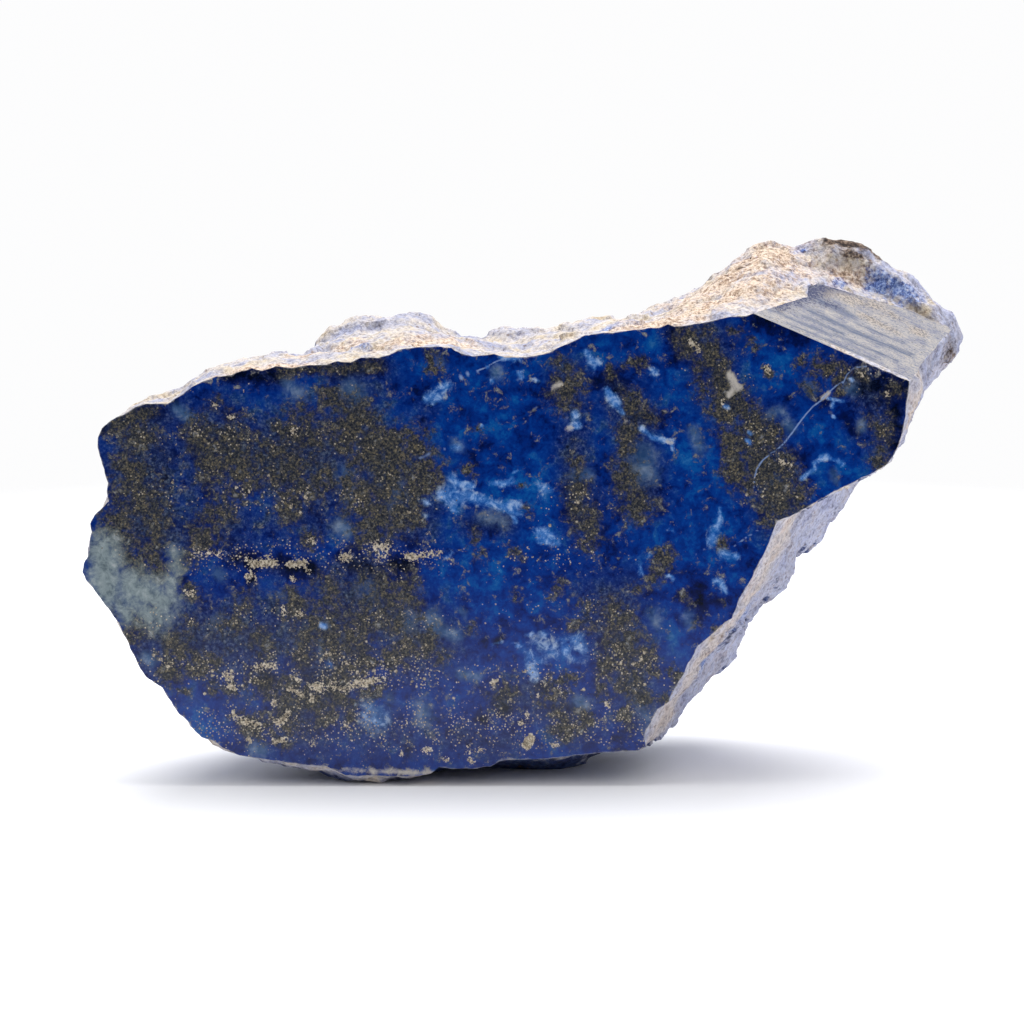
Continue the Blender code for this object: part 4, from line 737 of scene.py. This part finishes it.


# The rind: sugary pale crust, cream to lilac, pitted ochre, with dark brown and painted shade in its hollows,
# and the blue rock showing through at the back and below. Patches are 4 mm across, lumps 1.5 mm and the sugar's
# grains 0.5 mm
def weatheredRind():
    material, tree, shader, add, place = newMaterial("weathered lapis rind")
    cloud = add("TexNoise", {"Vector": place, "Scale": 1.0 / 4.0, "Detail": 6.0, "Roughness": 0.68})
    lump = add("TexNoise", {"Vector": place, "W": 5.0, "Scale": 1.0 / 1.5, "Detail": 6.0, "Roughness": 0.74},
               noise_dimensions="4D")
    grain = add("TexNoise", {"Vector": place, "W": 9.0, "Scale": 1.0 / 0.52, "Detail": 3.0, "Roughness": 0.7},
                noise_dimensions="4D")
    rock = add("ValToRGB", {0: lump}, stops=[(0.36, "#0e1a40"), (0.47, "#1f3877"), (0.56, "#455c90"),
                                             (0.68, "#868ea4")])
    pale = add("ValToRGB", {0: cloud}, stops=[(0.36, "#a2a6c0"), (0.45, "#bfbdc7"), (0.52, "#d3cbc6"),
                                              (0.60, "#d3c6b3"), (0.70, "#bfa98d")])
    look, crusted = inlay(add, rock, "crust", lump, 1.6, 0.3, pale, 0.45)
    bands = add("ValToRGB", {0: add("Attribute", output="Fac", attribute_name="behind")},
                stops=[(0.0, "#c8cadb"), (0.2, "#dcd7dc"), (0.38, "#d9d0cd"), (0.55, "#d6cfcf"), (0.8, "#bcc0d8")])
    tint = add("ValToRGB", {0: cloud}, stops=[(0.38, "#c3c8e6"), (0.5, "#ffffff"), (0.62, "#f3dcc4")])
    bands = add("Mix", {0: 0.45, 6: bands, 7: tint}, 2, data_type="RGBA", blend_type="MULTIPLY")
    look = inlay(add, look, "flank", lump, 2.2, 0.4, bands)[0]
    warm = add("ValToRGB", {0: grain}, stops=[(0.34, "#997a62"), (0.46, "#ccb096"), (0.6, "#e8d5c3")])
    look = inlay(add, look, "ochre", lump, 2.6, 0.4, warm, 0.5)[0]
    blue = add("ValToRGB", {0: grain}, stops=[(0.36, "#2f4a94"), (0.5, "#6a84c4"), (0.64, "#b3c2e2")])
    look = inlay(add, look, "lapis", lump, 2.8, 0.3, blue, 0.55)[0]
    # painted shade: dark brown laid where the rind is hollow, partly its own brown
    shadedBrown = add("ValToRGB", {0: grain}, stops=[(0.36, "#241d22"), (0.5, "#5f4c40"), (0.64, "#9a8676")])
    look = inlay(add, look, "hollowShadeAndBrown", lump, 2.0, 0.25, shadedBrown, 0.5)[0]
    pits = speckles(add, place, 0.7, 0.34, 0.16)
    look = add("Mix", {0: add("Math", {0: pits, 1: 0.6}, operation="MULTIPLY"), 6: look, 7: colour("#7c6248")}, 2,
               data_type="RGBA")
    # shade sits between the grains
    between = add("ValToRGB", {0: grain}, stops=[(0.34, "#8a8690"), (0.46, "#d9d5d6"), (0.56, "#ffffff")])
    look = add("Mix", {0: 0.7, 6: look, 7: between}, 2, data_type="RGBA", blend_type="MULTIPLY")
    tree.links.new(look, shader.inputs["Base Color"])
    tree.links.new(add("Math", {0: crusted, 1: 0.2, 2: 0.72}, operation="MULTIPLY_ADD"), shader.inputs["Roughness"])
    height = add("Math", {0: lump, 1: 0.8, 2: add("Math", {0: grain, 1: 0.6}, operation="MULTIPLY")},
                 operation="MULTIPLY_ADD")
    tree.links.new(add("Bump", {"Height": height, "Distance": 0.7 * mm, "Strength": 0.8}), shader.inputs["Normal"])
    return material


# Floor, light and camera

studio = {
    "floorRadius": 0.75,                # metres
    "floorFade": (0.16, 0.25),          # the paper fades into the room between these distances
    "target": (-2.9, -18.7, 38.3),      # what the camera looks at, in millimetres from the frame's origin
    "elevation": 10.0,                  # degrees
    "distance": 560.0,
    "lens": 145.0,
    "roomLight": (0.84, 0.85, 0.87),
    "frontLight": (0.02, 0.02, 0.022),  # the dark wall that the polish mirrors
    "wallFront": (-0.55, -0.9),         # it fades in between these y of a direction into the room
    "wallLevel": (0.55, 0.28),          # and between these z, up or down
    "backdrop": (0.98, 0.98, 0.985),    # what the camera sees past the floor
    "paper": "#f6f6f8",
    "lampPower": 6.5,
    "lampSize": 0.7,                    # metres, as are the next two
    "lampPlace": (0.04, 0.2, 0.68),
    "lampAims": (0.0, 0.0, 0.04),
}


def makeStudio():
    scene = bpy.context.scene
    scene.view_settings.view_transform = "Standard"
    bm = bmesh.new()
    bmesh.ops.create_circle(bm, cap_ends=True, segments=96, radius=studio["floorRadius"])
    mesh = bpy.data.meshes.new("floor")
    bm.to_mesh(mesh)
    bm.free()
    floor = bpy.data.objects.new("floor", mesh)
    scene.collection.objects.link(floor)
    # matt white paper: no gloss, so the stone's shadow is all that shows on it
    paper, tree, shader, add, place = newMaterial("white paper")
    shader.inputs["Base Color"].default_value = colour(studio["paper"])
    shader.inputs["Roughness"].default_value = 0.9
    away = add("VectorMath", {0: place}, "Value", operation="LENGTH")
    tree.links.new(add("MapRange", {"Value": away, "From Min": studio["floorFade"][0] / mm,
                                    "From Max": studio["floorFade"][1] / mm, "To Min": 1.0, "To Max": 0.0},
                       interpolation_type="SMOOTHSTEP"), shader.inputs["Alpha"])
    floor.data.materials.append(paper)

    world = bpy.data.worlds.new("white room")
    scene.world = world
    world.use_nodes = True
    tree = world.node_tree
    way = tree.nodes.new("ShaderNodeSeparateXYZ")
    tree.links.new(addNode(tree, "TexCoord", output="Generated"), way.inputs[0])
    front = addNode(tree, "MapRange", {"Value": way.outputs["Y"], "From Min": studio["wallFront"][0],
                                       "From Max": studio["wallFront"][1]}, interpolation_type="SMOOTHSTEP")
    level = addNode(tree, "MapRange", {"Value": addNode(tree, "Math", {0: way.outputs["Z"]}, operation="ABSOLUTE"),
                                       "From Min": studio["wallLevel"][0], "From Max": studio["wallLevel"][1]},
                    interpolation_type="SMOOTHSTEP")
    dim = addNode(tree, "Math", {0: front, 1: level}, operation="MULTIPLY")
    room = addNode(tree, "Mix", {0: dim, 6: (*studio["roomLight"], 1.0), 7: (*studio["frontLight"], 1.0)}, 2,
                   data_type="RGBA")
    seen = addNode(tree, "LightPath", output="Is Camera Ray")
    tree.links.new(addNode(tree, "Mix", {0: seen, 6: room, 7: (*studio["backdrop"], 1.0)}, 2, data_type="RGBA"),
                   tree.nodes["Background"].inputs["Color"])

    lamp = bpy.data.lights.new("overhead softbox", "AREA")
    lamp.shape = "DISK"
    lamp.size = studio["lampSize"]
    lamp.energy = studio["lampPower"]
    light = bpy.data.objects.new("overhead softbox", lamp)
    light.location = studio["lampPlace"]
    light.rotation_euler = (Vector(studio["lampAims"]) - light.location).to_track_quat("-Z", "Y").to_euler()
    scene.collection.objects.link(light)

    camera = bpy.data.objects.new("camera", bpy.data.cameras.new("camera"))
    camera.data.lens = studio["lens"]
    camera.data.sensor_width = 36.0
    tilt = math.radians(studio["elevation"])
    target = Vector(studio["target"]) * mm
    back = Vector((0.0, -math.cos(tilt), math.sin(tilt)))
    camera.location = target + back * studio["distance"] * mm
    camera.rotation_euler = back.to_track_quat("Z", "Y").to_euler()
    scene.collection.objects.link(camera)
    scene.camera = camera


lapis = makeStone()
for material in (polishedLapis(), sawnLapis(), weatheredRind()):
    lapis.data.materials.append(material)
    print("material:", material.name)
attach(lapis, "root")
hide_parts(stone["node"])
makeStudio()
print("studio ready")
